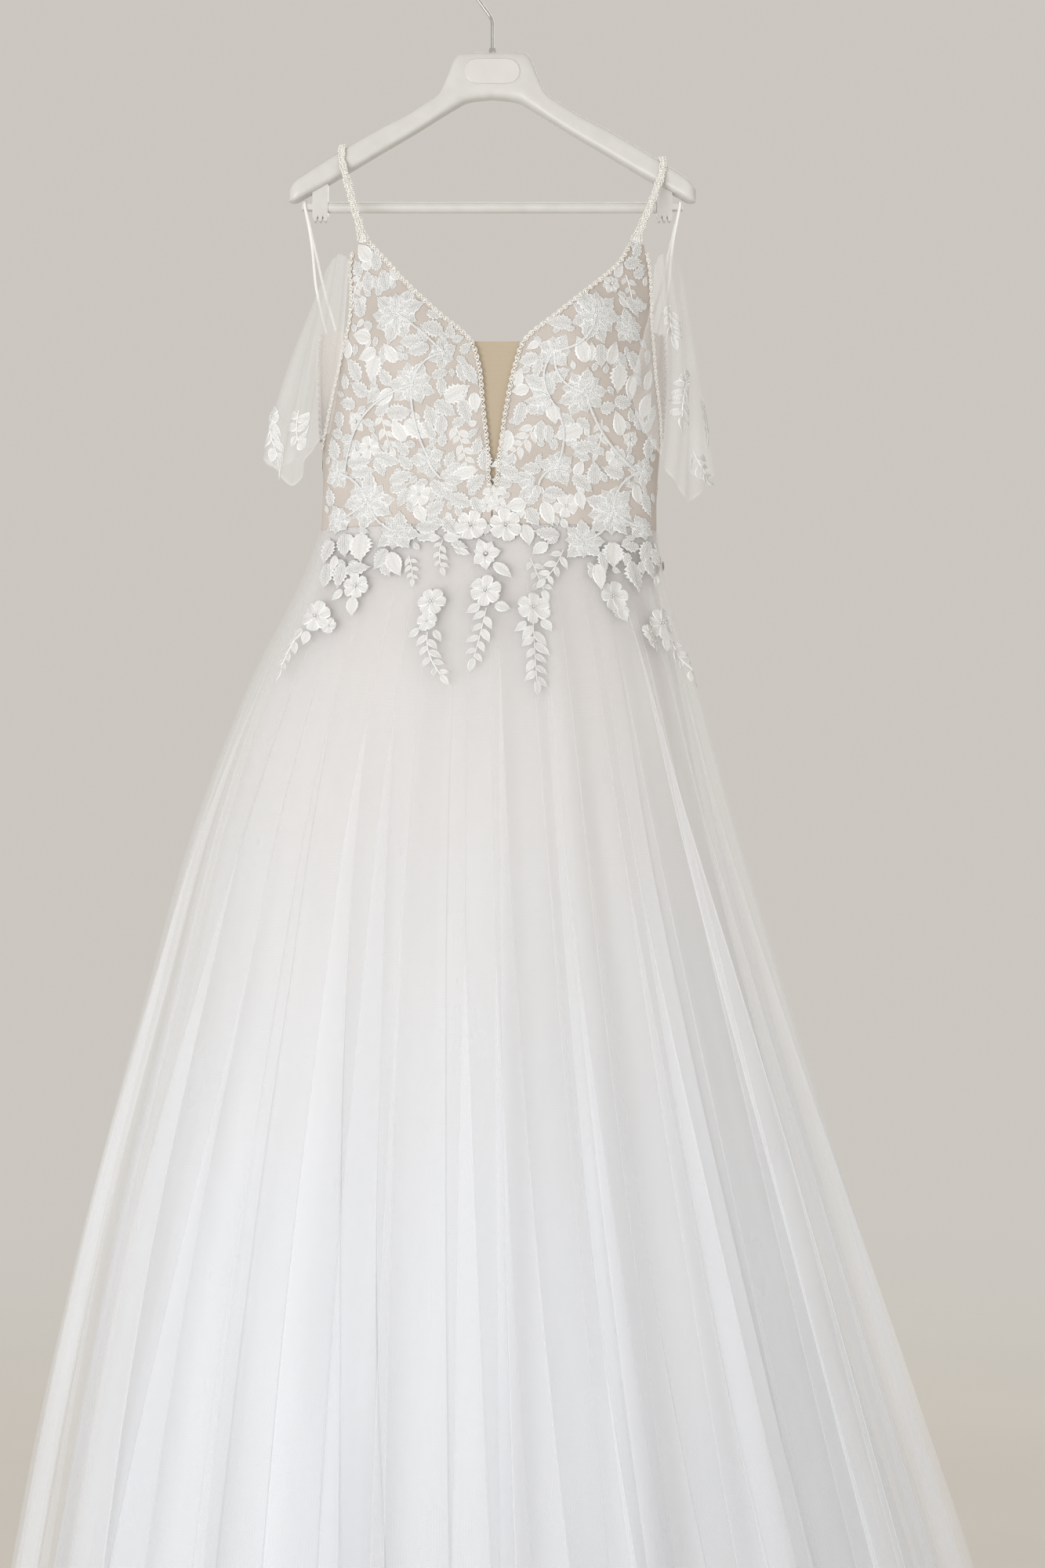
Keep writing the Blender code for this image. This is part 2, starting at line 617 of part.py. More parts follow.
def make_back_panel(side, surface):
    outer, inner = [], []
    for r in range(BACK_ROWS + 1):
        outer_row, inner_row = [], []
        for angle in back_panel_columns(side):
            top = BACK_TOP.at("height", abs(angle))
            height = WAIST + (top - WAIST) * r / BACK_ROWS
            point = bodice_point(angle, height)
            outer_row.append(point)
            inner_row.append(point - outward(bodice_point, angle, height) * BODICE_WALL)
        outer.append(outer_row)
        inner.append(inner_row)
    return add_wall("bodice_back_" + side, outer, inner, surface)


def make_modesty_panel(surface):
    """The sheer panel behind the plunge, held behind both edges of the neckline."""
    rows = 8
    clear = 2 * SEAM_GAP
    front, back = [], []
    for r in range(rows + 1):
        height = MODESTY_HEM + (MODESTY_TOP - MODESTY_HEM) * r / rows
        left = FRONT_EDGES.at("neck_left", height)
        right = FRONT_EDGES.at("neck_right", height)
        front_row = []
        for x in (left - MODESTY_OVERLAP, left - 0.001, right + 0.001, right + MODESTY_OVERLAP):
            angle = angle_at(x, height)
            point = bodice_point(angle, height)
            front_row.append(point - outward(bodice_point, angle, height) * (BODICE_WALL + clear))
        front.append(front_row)
        back.append([p + Vector((0, TULLE_WALL, 0)) for p in front_row])
    return add_wall("modesty_panel", front, back, surface)


def make_edge_trim(name, stations, surface):
    """A string of beads that lies on a panel's edge, made from the panel's own edge points."""
    directions = [outward(bodice_point, angle, height) for angle, height in stations]
    clear = TRIM_RADIUS[1] + SEAM_GAP
    path = [bodice_point(angle, height) + out * clear
            for (angle, height), out in zip(stations, directions)]
    return add_sweep(name, path, lambda i: circle(TRIM_RADIUS[i % 2], 6), surface,
                     across=lambda i: directions[i])


def plunge_width(height):
    return FRONT_EDGES.at("neck_right", height) - FRONT_EDGES.at("neck_left", height)


def make_trims(side, surface):
    front = front_panel_grid(side)
    both_fit = 2 * TRIM_RADIUS[1] + 4 * SEAM_GAP
    plunge = [row[0] for row in front if plunge_width(row[0][1]) > both_fit]
    make_edge_trim("neck_trim_" + side, plunge[:-1], surface)
    armhole = [row[-1] for row in front if row[0][1] > -0.540]
    make_edge_trim("armhole_trim_front_" + side, armhole[:-1], surface)
    back = [(angle, BACK_TOP.at("height", abs(angle))) for angle in back_panel_columns(side)]
    wing = [station for station in back if 91 < abs(station[0]) < WING_TRIM_END]
    make_edge_trim("armhole_trim_back_" + side, wing, surface)


# ------------------------------------------------------------------ straps and ribbons


def make_strap(side, surface):
    """From the front panel's point, over the hanger's arm, to the top of the back panel."""
    way = 1 if side == "right" else -1
    top = FRONT_EDGES.key[-1]
    ends = [FRONT_EDGES.at(edge + side, top) for edge in ("neck_", "armhole_")]
    front = in_wall(angle_at(sum(ends) / 2, top), top) + Vector((0, 0, SEAM_GAP))
    back_angle = way * BACK_STRAP_ANGLE
    back = in_wall(back_angle, BACK_TOP.at("height", BACK_STRAP_ANGLE))
    back += Vector((0, 0, 2 * SEAM_GAP))
    x = STRAP_AT[side]
    lift = STRAP_THICKNESS / 2 + 3 * SEAM_GAP
    slope = (arm_top(abs(x) - 0.005) - arm_top(abs(x) + 0.005)) / 0.010
    middle = (arm_top(x) + arm_bottom(x)) / 2
    reach = hanger_half_depth(x) + lift
    half_height = (HANGER.at("top", abs(x)) - HANGER.at("bottom", abs(x))) / 2
    rise = half_height + lift + slope * STRAP_WIDTH / 2
    over = []
    for k in range(7):
        angle = math.pi * (1 - k / 6)
        c, s = math.cos(angle), math.sin(angle)
        over.append(Vector((x, reach * math.copysign(abs(c) ** SECTION_SQUARENESS, c),
                            middle + rise * abs(s) ** SECTION_SQUARENESS)))
    stub = Vector((0, 0, 0.006))
    down_front = [front + stub, front.lerp(over[0], 0.30) + stub * 0.4,
                  front.lerp(over[0], 0.75) + Vector((0, -0.001, 0))]
    down_back = [over[-1].lerp(back, 0.30) + Vector((0, 0.002, 0)), over[-1].lerp(back, 0.75),
                 back + stub]
    path = [front] + smooth_path(down_front, 2) + over + smooth_path(down_back, 2) + [back]
    wide_base = abs(ends[1] - ends[0]) - 0.001

    def section(i):
        flare = fade(1 - i / 4)
        width = STRAP_WIDTH + (wide_base - STRAP_WIDTH) * flare
        return band(width, STRAP_THICKNESS * (1 - 0.15 * flare))

    return add_sweep("strap_" + side, path, section, surface, across=lambda i: Vector((1.0, 0.0, 0.0)))


def make_ribbon(side, surface):
    """The loop that hangs the dress by its sides: over the bracket's peg, both ends at the armhole."""
    way = 1 if side == "right" else -1
    x = way * (PEG_OUT - 0.003)
    centre = PEG_TOP - 0.0015
    radius = math.hypot(BRACKET_HALF_DEPTH, 0.0015) + RIBBON_THICKNESS / 2 + 2 * SEAM_GAP
    over = []
    for k in range(9):
        angle = math.pi * (1 - k / 8)
        over.append(Vector((x, radius * math.cos(angle), centre + radius * math.sin(angle))))
    ends = [in_wall(way * angle, BACK_TOP.at("height", angle)) + Vector((0, 0, RIBBON_SEAT))
            for angle in RIBBON_ANGLES]
    stub = Vector((0, 0, 0.005))
    front = smooth_path([ends[0] + stub, ends[0].lerp(over[0], 0.35) + Vector((0, -0.003, 0)),
                         ends[0].lerp(over[0], 0.70) + Vector((0, -0.002, 0)), over[0]], 2)
    back = smooth_path([over[-1], over[-1].lerp(ends[1], 0.30) + Vector((0, 0.002, 0)),
                        over[-1].lerp(ends[1], 0.65) + Vector((0, 0.004, 0)), ends[1] + stub], 2)
    path = [ends[0]] + front[:-1] + over + back[1:] + [ends[1]]
    return add_sweep("hang_ribbon_" + side, path, lambda i: band(RIBBON_WIDTH, RIBBON_THICKNESS),
                     surface, across=lambda i: Vector((1.0, 0.0, 0.0)))


# ------------------------------------------------------------------ sleeves


def sleeve_point(table, column, drop):
    """column runs from the front edge to the back edge, drop from 0 at the top to 1 at the hem."""
    top = Vector([table.at("top_" + axis, column) for axis in "xyz"])
    hem = Vector([table.at("hem_" + axis, column) for axis in "xyz"])
    point = top.lerp(hem, drop)
    point.x += math.copysign(1.0, top.x) * table.at("out", column) * math.sin(math.pi * drop)
    reach = BODICE.at("right" if point.x > 0 else "left", point.z)
    if point.y < 0 and abs(point.x) < 0.98 * reach:
        under = bodice_point(angle_at(point.x, point.z), point.z)
        edge = FRONT_EDGES.at("armhole_right" if point.x > 0 else "armhole_left", point.z)
        over_lace, over_beads = SLEEVE_CLEARANCE
        near_edge = fade(1.6 - abs(point.x - edge) / 0.008)
        point.y = min(point.y, under.y - over_lace - (over_beads - over_lace) * near_edge)
    return point


def make_sleeve(side, surface):
    table = SLEEVES[side]
    last = table.key[-1]
    columns = 2 * int(last)
    outer, inner = [], []
    for r in range(SLEEVE_ROWS + 1):
        drop = r / SLEEVE_ROWS
        outer_row, inner_row = [], []
        for c in range(columns + 1):
            column = last * c / columns
            point = sleeve_point(table, column, drop)
            round_it = (sleeve_point(table, min(column + 0.1, last), drop)
                        - sleeve_point(table, max(column - 0.1, 0), drop))
            down_it = sleeve_point(table, column, drop + 0.02) - sleeve_point(table, column, drop - 0.02)
            out = round_it.cross(down_it).normalized() * (1 if side == "left" else -1)
            outer_row.append(point)
            inner_row.append(point - out * SLEEVE_WALL)
        outer.append(outer_row)
        inner.append(inner_row)
    return add_wall("sleeve_" + side, outer, inner, surface)


# ------------------------------------------------------------------ the skirt


def hem_height(angle):
    """The hem is level at the front and sweeps down to a short train at the back."""
    return FRONT_HEM + (BACK_HEM - FRONT_HEM) * ((1 - math.cos(math.radians(angle))) / 2) ** 1.8


def fold_columns(finely):
    """The angles of the skirt's columns: every trough and crest, and halfway between if finely."""
    crests = list(FOLDS.key)
    turns = []
    for i, crest in enumerate(crests):
        following = crests[i + 1] if i + 1 < len(crests) else crests[0] + 360
        trough = (crest + following) / 2
        turns += [crest, trough]
        if finely:
            turns += [(crest + trough) / 2, (trough + following) / 2]
    return sorted(((angle + 90) % 360) - 90 for angle in turns)


def fold_depth(angle):
    """How far the folds lift the cloth at an angle, at the hem."""
    crests, depths = list(FOLDS.key), list(FOLDS.values["depth"])
    angle = ((angle + 90) % 360) - 90
    crests = [crests[-1] - 360] + crests + [crests[0] + 360]
    depths = [depths[-1]] + depths + [depths[0]]
    i = int(min(max(np.searchsorted(crests, angle) - 1, 0), len(crests) - 2))
    t = (angle - crests[i]) / (crests[i + 1] - crests[i])
    depth = depths[i] if t < 0.5 else depths[i + 1]
    return depth * (0.5 + 0.5 * math.cos(2 * math.pi * t))


LAYER_OFFSET = {"outer": 2 * (TULLE_WALL + SEAM_GAP), "middle": TULLE_WALL + SEAM_GAP, "lining": 0.0}
WAIST_INSET = 0.0016         # brings the three layers under the bodice's edge
LAYERS_PART = 0.060          # below the waist, the layers part over this height
LAYERS_APART = {"outer": 0.0, "middle": 0.0026, "lining": 0.0048}


def skirt_point(layer, angle, height):
    share = 1.0 if layer == "outer" else UNDERSKIRTS.at(layer, height)
    tuck = LAYERS_APART[layer] * fade((WAIST - height) / LAYERS_PART)
    point = ring_point(SKIRT, angle, height, share, tuck)
    turn = math.radians(angle)
    s, c = math.sin(turn), math.cos(turn)
    side = SKIRT.at("right" if s >= 0 else "left", height)
    depth = SKIRT.at("front" if c >= 0 else "back", height)
    level_out = Vector((s / side, -c / depth, 0.0)).normalized()
    grown = max((WAIST - height) / (WAIST - FRONT_HEM), 0.0)
    lift = FOLD_SHARE[layer] * fold_depth(angle) * grown**0.85
    return point + level_out * (lift + LAYER_OFFSET[layer] - WAIST_INSET)


def skirt_rows(layer):
    """Shares of the way from the waist to the hem, closer near the waist."""
    return [(step / SKIRT_STEPS) ** 1.25 for step in LAYER_ROWS[layer]]


# The panels each layer is sewn from, and the angles of the seams at their two sides
LAYER_PANELS = {"outer": ("front", "back"), "middle": ("front", "back"),
                "lining": ("front", "back_right", "back_left")}
PANEL_SEAMS = {"front": (-90.0, 90.0), "back": (90.0, 270.0), "back_right": (90.0, 180.0),
               "back_left": (180.0, 270.0)}


def panel_angles(layer, part):
    """The columns of a panel, with its two seams."""
    start, end = PANEL_SEAMS[part]
    finely = layer == "outer" and part == "front"
    angles = [angle for angle in fold_columns(finely) if start + 0.8 < angle < end - 0.8]
    return [start] + angles + [end]


def skirt_grid(layer, part):
    """The outer points of a skirt panel and the direction out of the cloth at each."""
    def surface_point(angle, height):
        return skirt_point(layer, angle, height)

    angles = panel_angles(layer, part)
    points, directions = [], []
    for share in skirt_rows(layer):
        row, out_row = [], []
        for angle in angles:
            height = WAIST - SEAM_GAP + (hem_height(angle) - WAIST + SEAM_GAP) * share
            row.append(surface_point(angle, height))
            out_row.append(outward(surface_point, angle, height))
        for end, seam in zip((0, -1), PANEL_SEAMS[part]):
            if seam == 180.0:
                row[end].x += SEAM_GAP * (0.6 if part == "back_right" else -0.6)
            else:
                row[end].y += SEAM_GAP * (-0.6 if part == "front" else 0.6)
        points.append(row)
        directions.append(out_row)
    return points, directions


def make_skirt_panel(layer, part, surface):
    outer, directions = skirt_grid(layer, part)
    inner = []
    for row, out_row in zip(outer, directions):
        inner.append([p - d * TULLE_WALL for p, d in zip(row, out_row)])
    return add_wall(f"skirt_{layer}_{part}", outer, inner, surface)


def make_lace_layer(surface):
    """The outer skirt's own points moved out: the layer that the lace sprays are cut from."""
    points, directions = skirt_grid("outer", "front")
    rows = 4
    near, far = [], []
    for row, out_row in zip(points[:rows], directions[:rows]):
        near.append([p + out * SEAM_GAP for p, out in zip(row, out_row)])
        far.append([p + out * (SEAM_GAP + SPRAY_RISE) for p, out in zip(row, out_row)])
    layer = add_wall("lace_layer", far, near, surface)
    layer.hide_render = True
    layer.display_type = "WIRE"
    return layer


def make_spray(number, spray, lace_layer, surface):
    """A lace spray on the skirt: a wide flower at the top and leaves that narrow to a tip."""
    outline = []
    for side in (-1, 1):
        for k in range(SPRAY_ROWS + 1):
            t = (k if side < 0 else SPRAY_ROWS - k) / SPRAY_ROWS
            leaf = 0.70 + 0.30 * math.cos(2 * math.pi * 4 * t + side * 0.5)
            half = spray["half_width"] * leaf * (1 - 0.62 * t) * (0.4 if t in (0.0, 1.0) else 1.0)
            outline.append((spray["x"] + spray["lean"] * t * t + side * half,
                            spray["top"] - spray["length"] * t))
    count = len(outline)
    points = [Vector((x, y, z)) for y in (-0.30, 0.0) for x, z in outline]
    faces = [tuple(range(count)), tuple(range(count, 2 * count))]
    faces += [(k, (k + 1) % count, (k + 1) % count + count, k + count) for k in range(count)]
    lace = add_solid(f"skirt_spray_{number}", points, faces, surface)
    cut = lace.modifiers.new("on_the_skirt", "BOOLEAN")
    cut.operation = "INTERSECT"
    cut.solver = "EXACT"
    cut.object = lace_layer
    return lace


def make_button(number, surface):
    """A covered button that stands on the back closure."""
    top = BACK_TOP.at("height", 180.0) - 0.008
    height = top + (WAIST + 0.008 - top) * number / (BUTTON_COUNT - 1)
    base = bodice_point(180.0, height) + Vector((0, SEAM_GAP, 0))
    profile = ((0.0, 0.75), (0.45, 1.0), (1.0, 0.45))
    path = [base + Vector((0, BUTTON_DEPTH * share, 0)) for share, _ in profile]
    return add_sweep(f"button_{number + 1}", path, lambda i: circle(BUTTON_RADIUS * profile[i][1], 7),
                     surface, across=lambda i: Vector((1.0, 0.0, 0.0)))


# ------------------------------------------------------------------ the whole


def build():
    clear_scene()
    plastic = finish_material("white_plastic", (0.82, 0.81, 0.79), 0.35)
    badge = finish_material("badge_plastic", (0.86, 0.85, 0.83), 0.25)
    chrome = finish_material("chrome", (0.62, 0.61, 0.60), 0.18, 1.0)
    lace = finish_material("ivory_lace", (0.84, 0.82, 0.79), 0.75)
    beads = finish_material("pearl_beads", (0.86, 0.84, 0.80), 0.35)
    tulle = finish_material("white_tulle", (0.88, 0.87, 0.86), 0.85)
    lining = finish_material("blush_lining", (0.80, 0.73, 0.68), 0.55)
    mesh = finish_material("nude_mesh", (0.76, 0.66, 0.50), 0.80)
    satin = finish_material("satin_ribbon", (0.86, 0.84, 0.80), 0.40)

    make_hook(chrome)
    make_collar(chrome)
    make_hanger_body(plastic)
    make_badge(badge)
    make_bar(plastic)
    make_bracket("bar_bracket_left", -1, plastic)
    make_bracket("bar_bracket_right", 1, plastic)

    for side in ("left", "right"):
        make_front_panel(side, lace)
        make_back_panel(side, lace)
        make_trims(side, beads)
        make_strap(side, beads)
        make_ribbon(side, satin)
        make_sleeve(side, tulle)
    make_modesty_panel(mesh)
    for number in range(BUTTON_COUNT):
        make_button(number, satin)

    for layer, surface in (("outer", tulle), ("middle", tulle), ("lining", lining)):
        for part in LAYER_PANELS[layer]:
            make_skirt_panel(layer, part, surface)
    lace_layer = make_lace_layer(lace)
    for number, spray in enumerate(SPRAYS.rows(), start=1):
        make_spray(number, spray, lace_layer, lace)


build()
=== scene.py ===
import math

import bpy
import numpy as np
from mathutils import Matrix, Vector


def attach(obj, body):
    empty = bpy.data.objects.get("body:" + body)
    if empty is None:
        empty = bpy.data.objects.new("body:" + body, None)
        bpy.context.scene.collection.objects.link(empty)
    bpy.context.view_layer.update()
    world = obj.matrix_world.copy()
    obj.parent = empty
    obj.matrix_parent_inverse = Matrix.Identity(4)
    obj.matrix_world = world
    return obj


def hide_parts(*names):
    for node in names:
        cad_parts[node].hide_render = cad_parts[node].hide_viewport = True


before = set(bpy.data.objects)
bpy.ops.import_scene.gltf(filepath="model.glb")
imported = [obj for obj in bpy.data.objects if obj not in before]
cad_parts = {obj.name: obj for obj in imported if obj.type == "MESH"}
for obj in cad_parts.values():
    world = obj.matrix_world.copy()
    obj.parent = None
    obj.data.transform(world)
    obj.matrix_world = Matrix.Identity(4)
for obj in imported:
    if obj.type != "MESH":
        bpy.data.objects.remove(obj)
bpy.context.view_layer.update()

# A wedding dress on its hanger: the finish of the hanger, the cloth as thin shells on the packed
# solids' form, and the lace, beads and stitches that lie on them.  Metres, +Z up, the front faces
# -Y.  Left is -X and right is +X, as seen from the front.

PI = math.pi
WAYS = {"left": -1.0, "right": 1.0}
WAIST, PANEL_LOW, PANEL_TOP = -0.624, -0.545, -0.32      # PANEL_LOW: where the armhole begins
SEAM_GAP = 0.0003
FRONT_HEM, BACK_HEM = -1.8, -2.0
HEM_SWEEP = 1.8              # the higher, the later the hem drops on its way to the back

# ---------------- the garment's own tables


class Table:
    """Rows with named columns, read between the rows along a smooth curve."""

    def __init__(self, columns, *rows):
        data = np.array(sorted(rows), float)
        self.columns = dict(zip(columns.split(), data.T))
        self.key = data[:, 0]

    def at(self, name, key):
        xs, ys = self.key, self.columns[name]
        key = np.clip(np.asarray(key, float), xs[0], xs[-1])
        i = np.clip(np.searchsorted(xs, key) - 1, 0, len(xs) - 2)
        slopes = np.diff(ys) / np.diff(xs)
        before, after = slopes[np.maximum(i - 1, 0)], slopes[np.minimum(i + 1, len(slopes) - 1)]
        start = np.where(i == 0, slopes[i], 0.5 * (before + slopes[i]))
        end = np.where(i == len(slopes) - 1, slopes[i], 0.5 * (slopes[i] + after))
        width = xs[i + 1] - xs[i]
        t = (key - xs[i]) / width
        return ((2 * t**3 - 3 * t**2 + 1) * ys[i] + (t**3 - 2 * t**2 + t) * width * start
                + (3 * t**2 - 2 * t**3) * ys[i + 1] + (t**3 - t**2) * width * end)

    def rows(self):
        return [dict(zip(self.columns, row)) for row in zip(*self.columns.values())]


HANGER = Table("x top bottom half_depth",
    (0, -0.1008, -0.1499, 0.0125), (0.03, -0.1008, -0.1545, 0.0125), (0.038, -0.1022, -0.159, 0.0125),
    (0.043, -0.109, -0.162, 0.012), (0.048, -0.122, -0.165, 0.0115), (0.057, -0.1425, -0.1705, 0.011),
    (0.072, -0.1545, -0.18, 0.0105), (0.09, -0.1662, -0.191, 0.01), (0.125, -0.1845, -0.2115, 0.01),
    (0.157, -0.203, -0.2307, 0.0105), (0.185, -0.2205, -0.247, 0.012), (0.205, -0.2335, -0.258, 0.0125),
    (0.217, -0.2425, -0.264, 0.0115), (0.2225, -0.25, -0.2635, 0.007))

BODICE = Table("height left right front back",
    (-0.624, 0.188, 0.18, 0.066, 0.028), (-0.59, 0.186, 0.18, 0.068, 0.028),
    (-0.5575, 0.186, 0.182, 0.071, 0.028), (-0.5, 0.189, 0.187, 0.076, 0.0285),
    (-0.455, 0.191, 0.19, 0.08, 0.029), (-0.42, 0.191, 0.19, 0.082, 0.029),
    (-0.37, 0.188, 0.19, 0.081, 0.027), (-0.32, 0.181, 0.19, 0.078, 0.025))

CUPS = Table("x height depth half_width half_height",
    (-0.092, -0.438, 0.021, 0.052, 0.064), (0.101, -0.438, 0.021, 0.052, 0.064))

FRONT_EDGES = Table("height neck_left armhole_left neck_right armhole_right",
    (-0.624, 0, -0.188, 0.0004, 0.18), (-0.5865, 0, -0.186, 0.002, 0.18),
    (-0.545, -0.004, -0.185, 0.0092, 0.183), (-0.5, -0.009, -0.1755, 0.016, 0.1815),
    (-0.455, -0.014, -0.164, 0.0262, 0.1755), (-0.43, -0.024, -0.1575, 0.037, 0.1735),
    (-0.405, -0.055, -0.1515, 0.069, 0.1715), (-0.375, -0.086, -0.15, 0.104, 0.171),
    (-0.345, -0.111, -0.1515, 0.135, 0.169), (-0.32, -0.132, -0.1465, 0.149, 0.164))

BACK_TOP = Table("angle height",
    (90, -0.545), (93, -0.49), (97, -0.425), (106, -0.408), (122, -0.402), (138, -0.4), (145, -0.4),
    (158, -0.442), (180, -0.5))

SKIRT = Table("height left right front back",
    (-0.624, 0.188, 0.18, 0.066, 0.028), (-0.678, 0.208, 0.188, 0.076, 0.031),
    (-0.785, 0.26, 0.22, 0.106, 0.036), (-0.947, 0.32, 0.262, 0.145, 0.042),
    (-1.12, 0.366, 0.312, 0.182, 0.05), (-1.356, 0.426, 0.383, 0.222, 0.06),
    (-1.556, 0.467, 0.443, 0.248, 0.072), (-1.76, 0.502, 0.505, 0.268, 0.09),
    (-2, 0.545, 0.56, 0.288, 0.125))

# How far each layer reaches, as a share of the outermost one
LAYERS = Table("height outer second middle lining",
    (-2, 1, 0.962, 0.925, 0.875), (-1.6, 1, 0.95, 0.895, 0.84), (-1.2, 1, 0.945, 0.885, 0.805),
    (-0.9, 1, 0.955, 0.905, 0.835), (-0.7, 1, 0.98, 0.96, 0.92), (-0.624, 1, 1, 1, 1))

# The folds: the angle of each crest from the middle of the front, and its depth at the hem
FOLDS = Table("angle depth",
    (-83, 0.012), (-71, 0.034), (-56, 0.042), (-43, 0.016), (-33, 0.034), (-24, 0.018), (-15.5, 0.038),
    (-7, 0.014), (2, 0.03), (12, 0.018), (20, 0.038), (30, 0.018), (38.5, 0.03), (51, 0.052), (63.5, 0.018),
    (72, 0.036), (84, 0.012), (98, 0.012), (112, 0.024), (129, 0.014), (144, 0.026), (163, 0.014),
    (180, 0.028), (198, 0.016), (215, 0.024), (234, 0.012), (249, 0.022), (263, 0.012))

SLEEVE_COLUMNS = "fold top_x top_y top_z hem_x hem_y hem_z out"
SLEEVES = {
    "left": Table(SLEEVE_COLUMNS,
        (0, -0.153, -0.046, -0.34, -0.173, -0.056, -0.526, -0.004),
        (1, -0.158, -0.047, -0.334, -0.186, -0.054, -0.534, 0.004),
        (2, -0.165, -0.046, -0.332, -0.2, -0.048, -0.556, 0),
        (3, -0.173, -0.041, -0.338, -0.214, -0.04, -0.58, 0.006),
        (4, -0.182, -0.031, -0.352, -0.232, -0.026, -0.564, 0),
        (5, -0.191, -0.016, -0.37, -0.25, -0.006, -0.546, 0.006),
        (6, -0.1985, 0.002, -0.386, -0.246, 0.016, -0.552, 0),
        (7, -0.1995, 0.018, -0.398, -0.233, 0.03, -0.548, 0.004),
        (8, -0.192, 0.031, -0.41, -0.216, 0.038, -0.536, 0)),
    "right": Table(SLEEVE_COLUMNS,
        (0, 0.1755, -0.0395, -0.346, 0.1453, -0.068, -0.482, 0.004),
        (1, 0.178, -0.045, -0.336, 0.16, -0.066, -0.518, 0.01),
        (2, 0.184, -0.044, -0.331, 0.18, -0.06, -0.552, 0.006),
        (3, 0.192, -0.036, -0.33, 0.196, -0.05, -0.576, 0.01),
        (4, 0.199, -0.025, -0.332, 0.212, -0.036, -0.597, 0.006),
        (5, 0.205, -0.011, -0.337, 0.231, -0.014, -0.578, 0.006),
        (6, 0.207, 0.004, -0.345, 0.245, 0.008, -0.56, 0),
        (7, 0.206, 0.019, -0.362, 0.234, 0.026, -0.564, 0.004),
        (8, 0.198, 0.032, -0.388, 0.216, 0.038, -0.552, 0)),
}

# ---------------- small helpers


def fade(t):
    t = np.clip(t, 0.0, 1.0)
    return t * t * (3 - 2 * t)


def unit(v):
    return v / np.maximum(np.linalg.norm(v, axis=-1, keepdims=True), 1e-12)


def squarer(wave, power=0.5):
    """A sine or cosine with squarer shoulders."""
    return np.sign(wave) * np.abs(wave) ** power


def stack(*parts):
    return np.stack(np.broadcast_arrays(*parts), axis=-1)


def summed(steps):
    """From nothing, the sum of the steps so far."""
    return np.concatenate([[0], np.cumsum(steps)])


def through(start, middle, end, t):
    """A smooth run through three values, which it meets where t is 0, 0.5 and 1."""
    return start * (1 - t) * (1 - 2 * t) + middle * 4 * t * (1 - t) + end * t * (2 * t - 1)


def add_mesh(name, points, faces, finish, slot=None, node=None, values=None, uv=None, smooth=True):
    """A mesh object from arrays, which rides on root if it has a slot; values holds numbers for
    the points, by name."""
    mesh = bpy.data.meshes.new(name)
    points = np.asarray(points, float).reshape(-1, 3)
    mesh.from_pydata(points.tolist(), [], faces if isinstance(faces, list) else faces.tolist())
    for key, value in (values or {}).items():
        attribute = mesh.attributes.new(key, "FLOAT", "POINT")
        attribute.data.foreach_set("value", np.asarray(value, np.float32).reshape(-1))
    if uv is not None:
        corners = np.zeros(len(mesh.loops), np.int32)
        mesh.loops.foreach_get("vertex_index", corners)
        uv = np.asarray(uv, np.float32).reshape(-1, 2)[corners]
        mesh.uv_layers.new(name="UVMap").data.foreach_set("uv", uv.reshape(-1))
    mesh.materials.append(MATERIALS[finish])
    if smooth:
        mesh.shade_smooth()
    thing = bpy.data.objects.new(name, mesh)
    bpy.context.scene.collection.objects.link(thing)
    if slot:
        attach(thing, "root")
        if node:
            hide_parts(node)
    return thing


def grid_faces(rows, columns, closed=False, start=0):
    """Quads over a grid of points, row by row; closed joins the last column to the first."""
    r, c = np.meshgrid(np.arange(rows - 1), np.arange(columns if closed else columns - 1),
                       indexing="ij")
    after = (c + 1) % columns
    quads = (r * columns + c, r * columns + after, (r + 1) * columns + after, (r + 1) * columns + c)
    return np.stack(quads, axis=-1).reshape(-1, 4) + start


def cloth_uv(grid):
    """Metres across and down a grid of cloth, each the mean over its rows or columns."""
    across = np.linalg.norm(np.diff(grid, axis=1), axis=-1).mean(axis=0)
    down = np.linalg.norm(np.diff(grid, axis=0), axis=-1).mean(axis=1)
    return stack(summed(across)[None, :], summed(down)[:, None])


def add_cloth(name, grid, finish, slot, node, values=None):
    """A sheet of cloth from a grid of points, and its area in square metres."""
    piece = add_mesh(name, grid, grid_faces(*grid.shape[:2]), finish, slot, node, values,
                     cloth_uv(grid))
    return piece, area_of(piece)


def area_of(piece):
    return float(sum(face.area for face in piece.data.polygons))


def normals_of(surface, a, b, step_a=0.3, step_b=0.001):
    """Outward unit normals of a surface(a, b), a running to the right and b up."""
    along = surface(a + step_a, b) - surface(a - step_a, b)
    return unit(np.cross(along, surface(a, b + step_b) - surface(a, b - step_b)))


# ---------------- materials


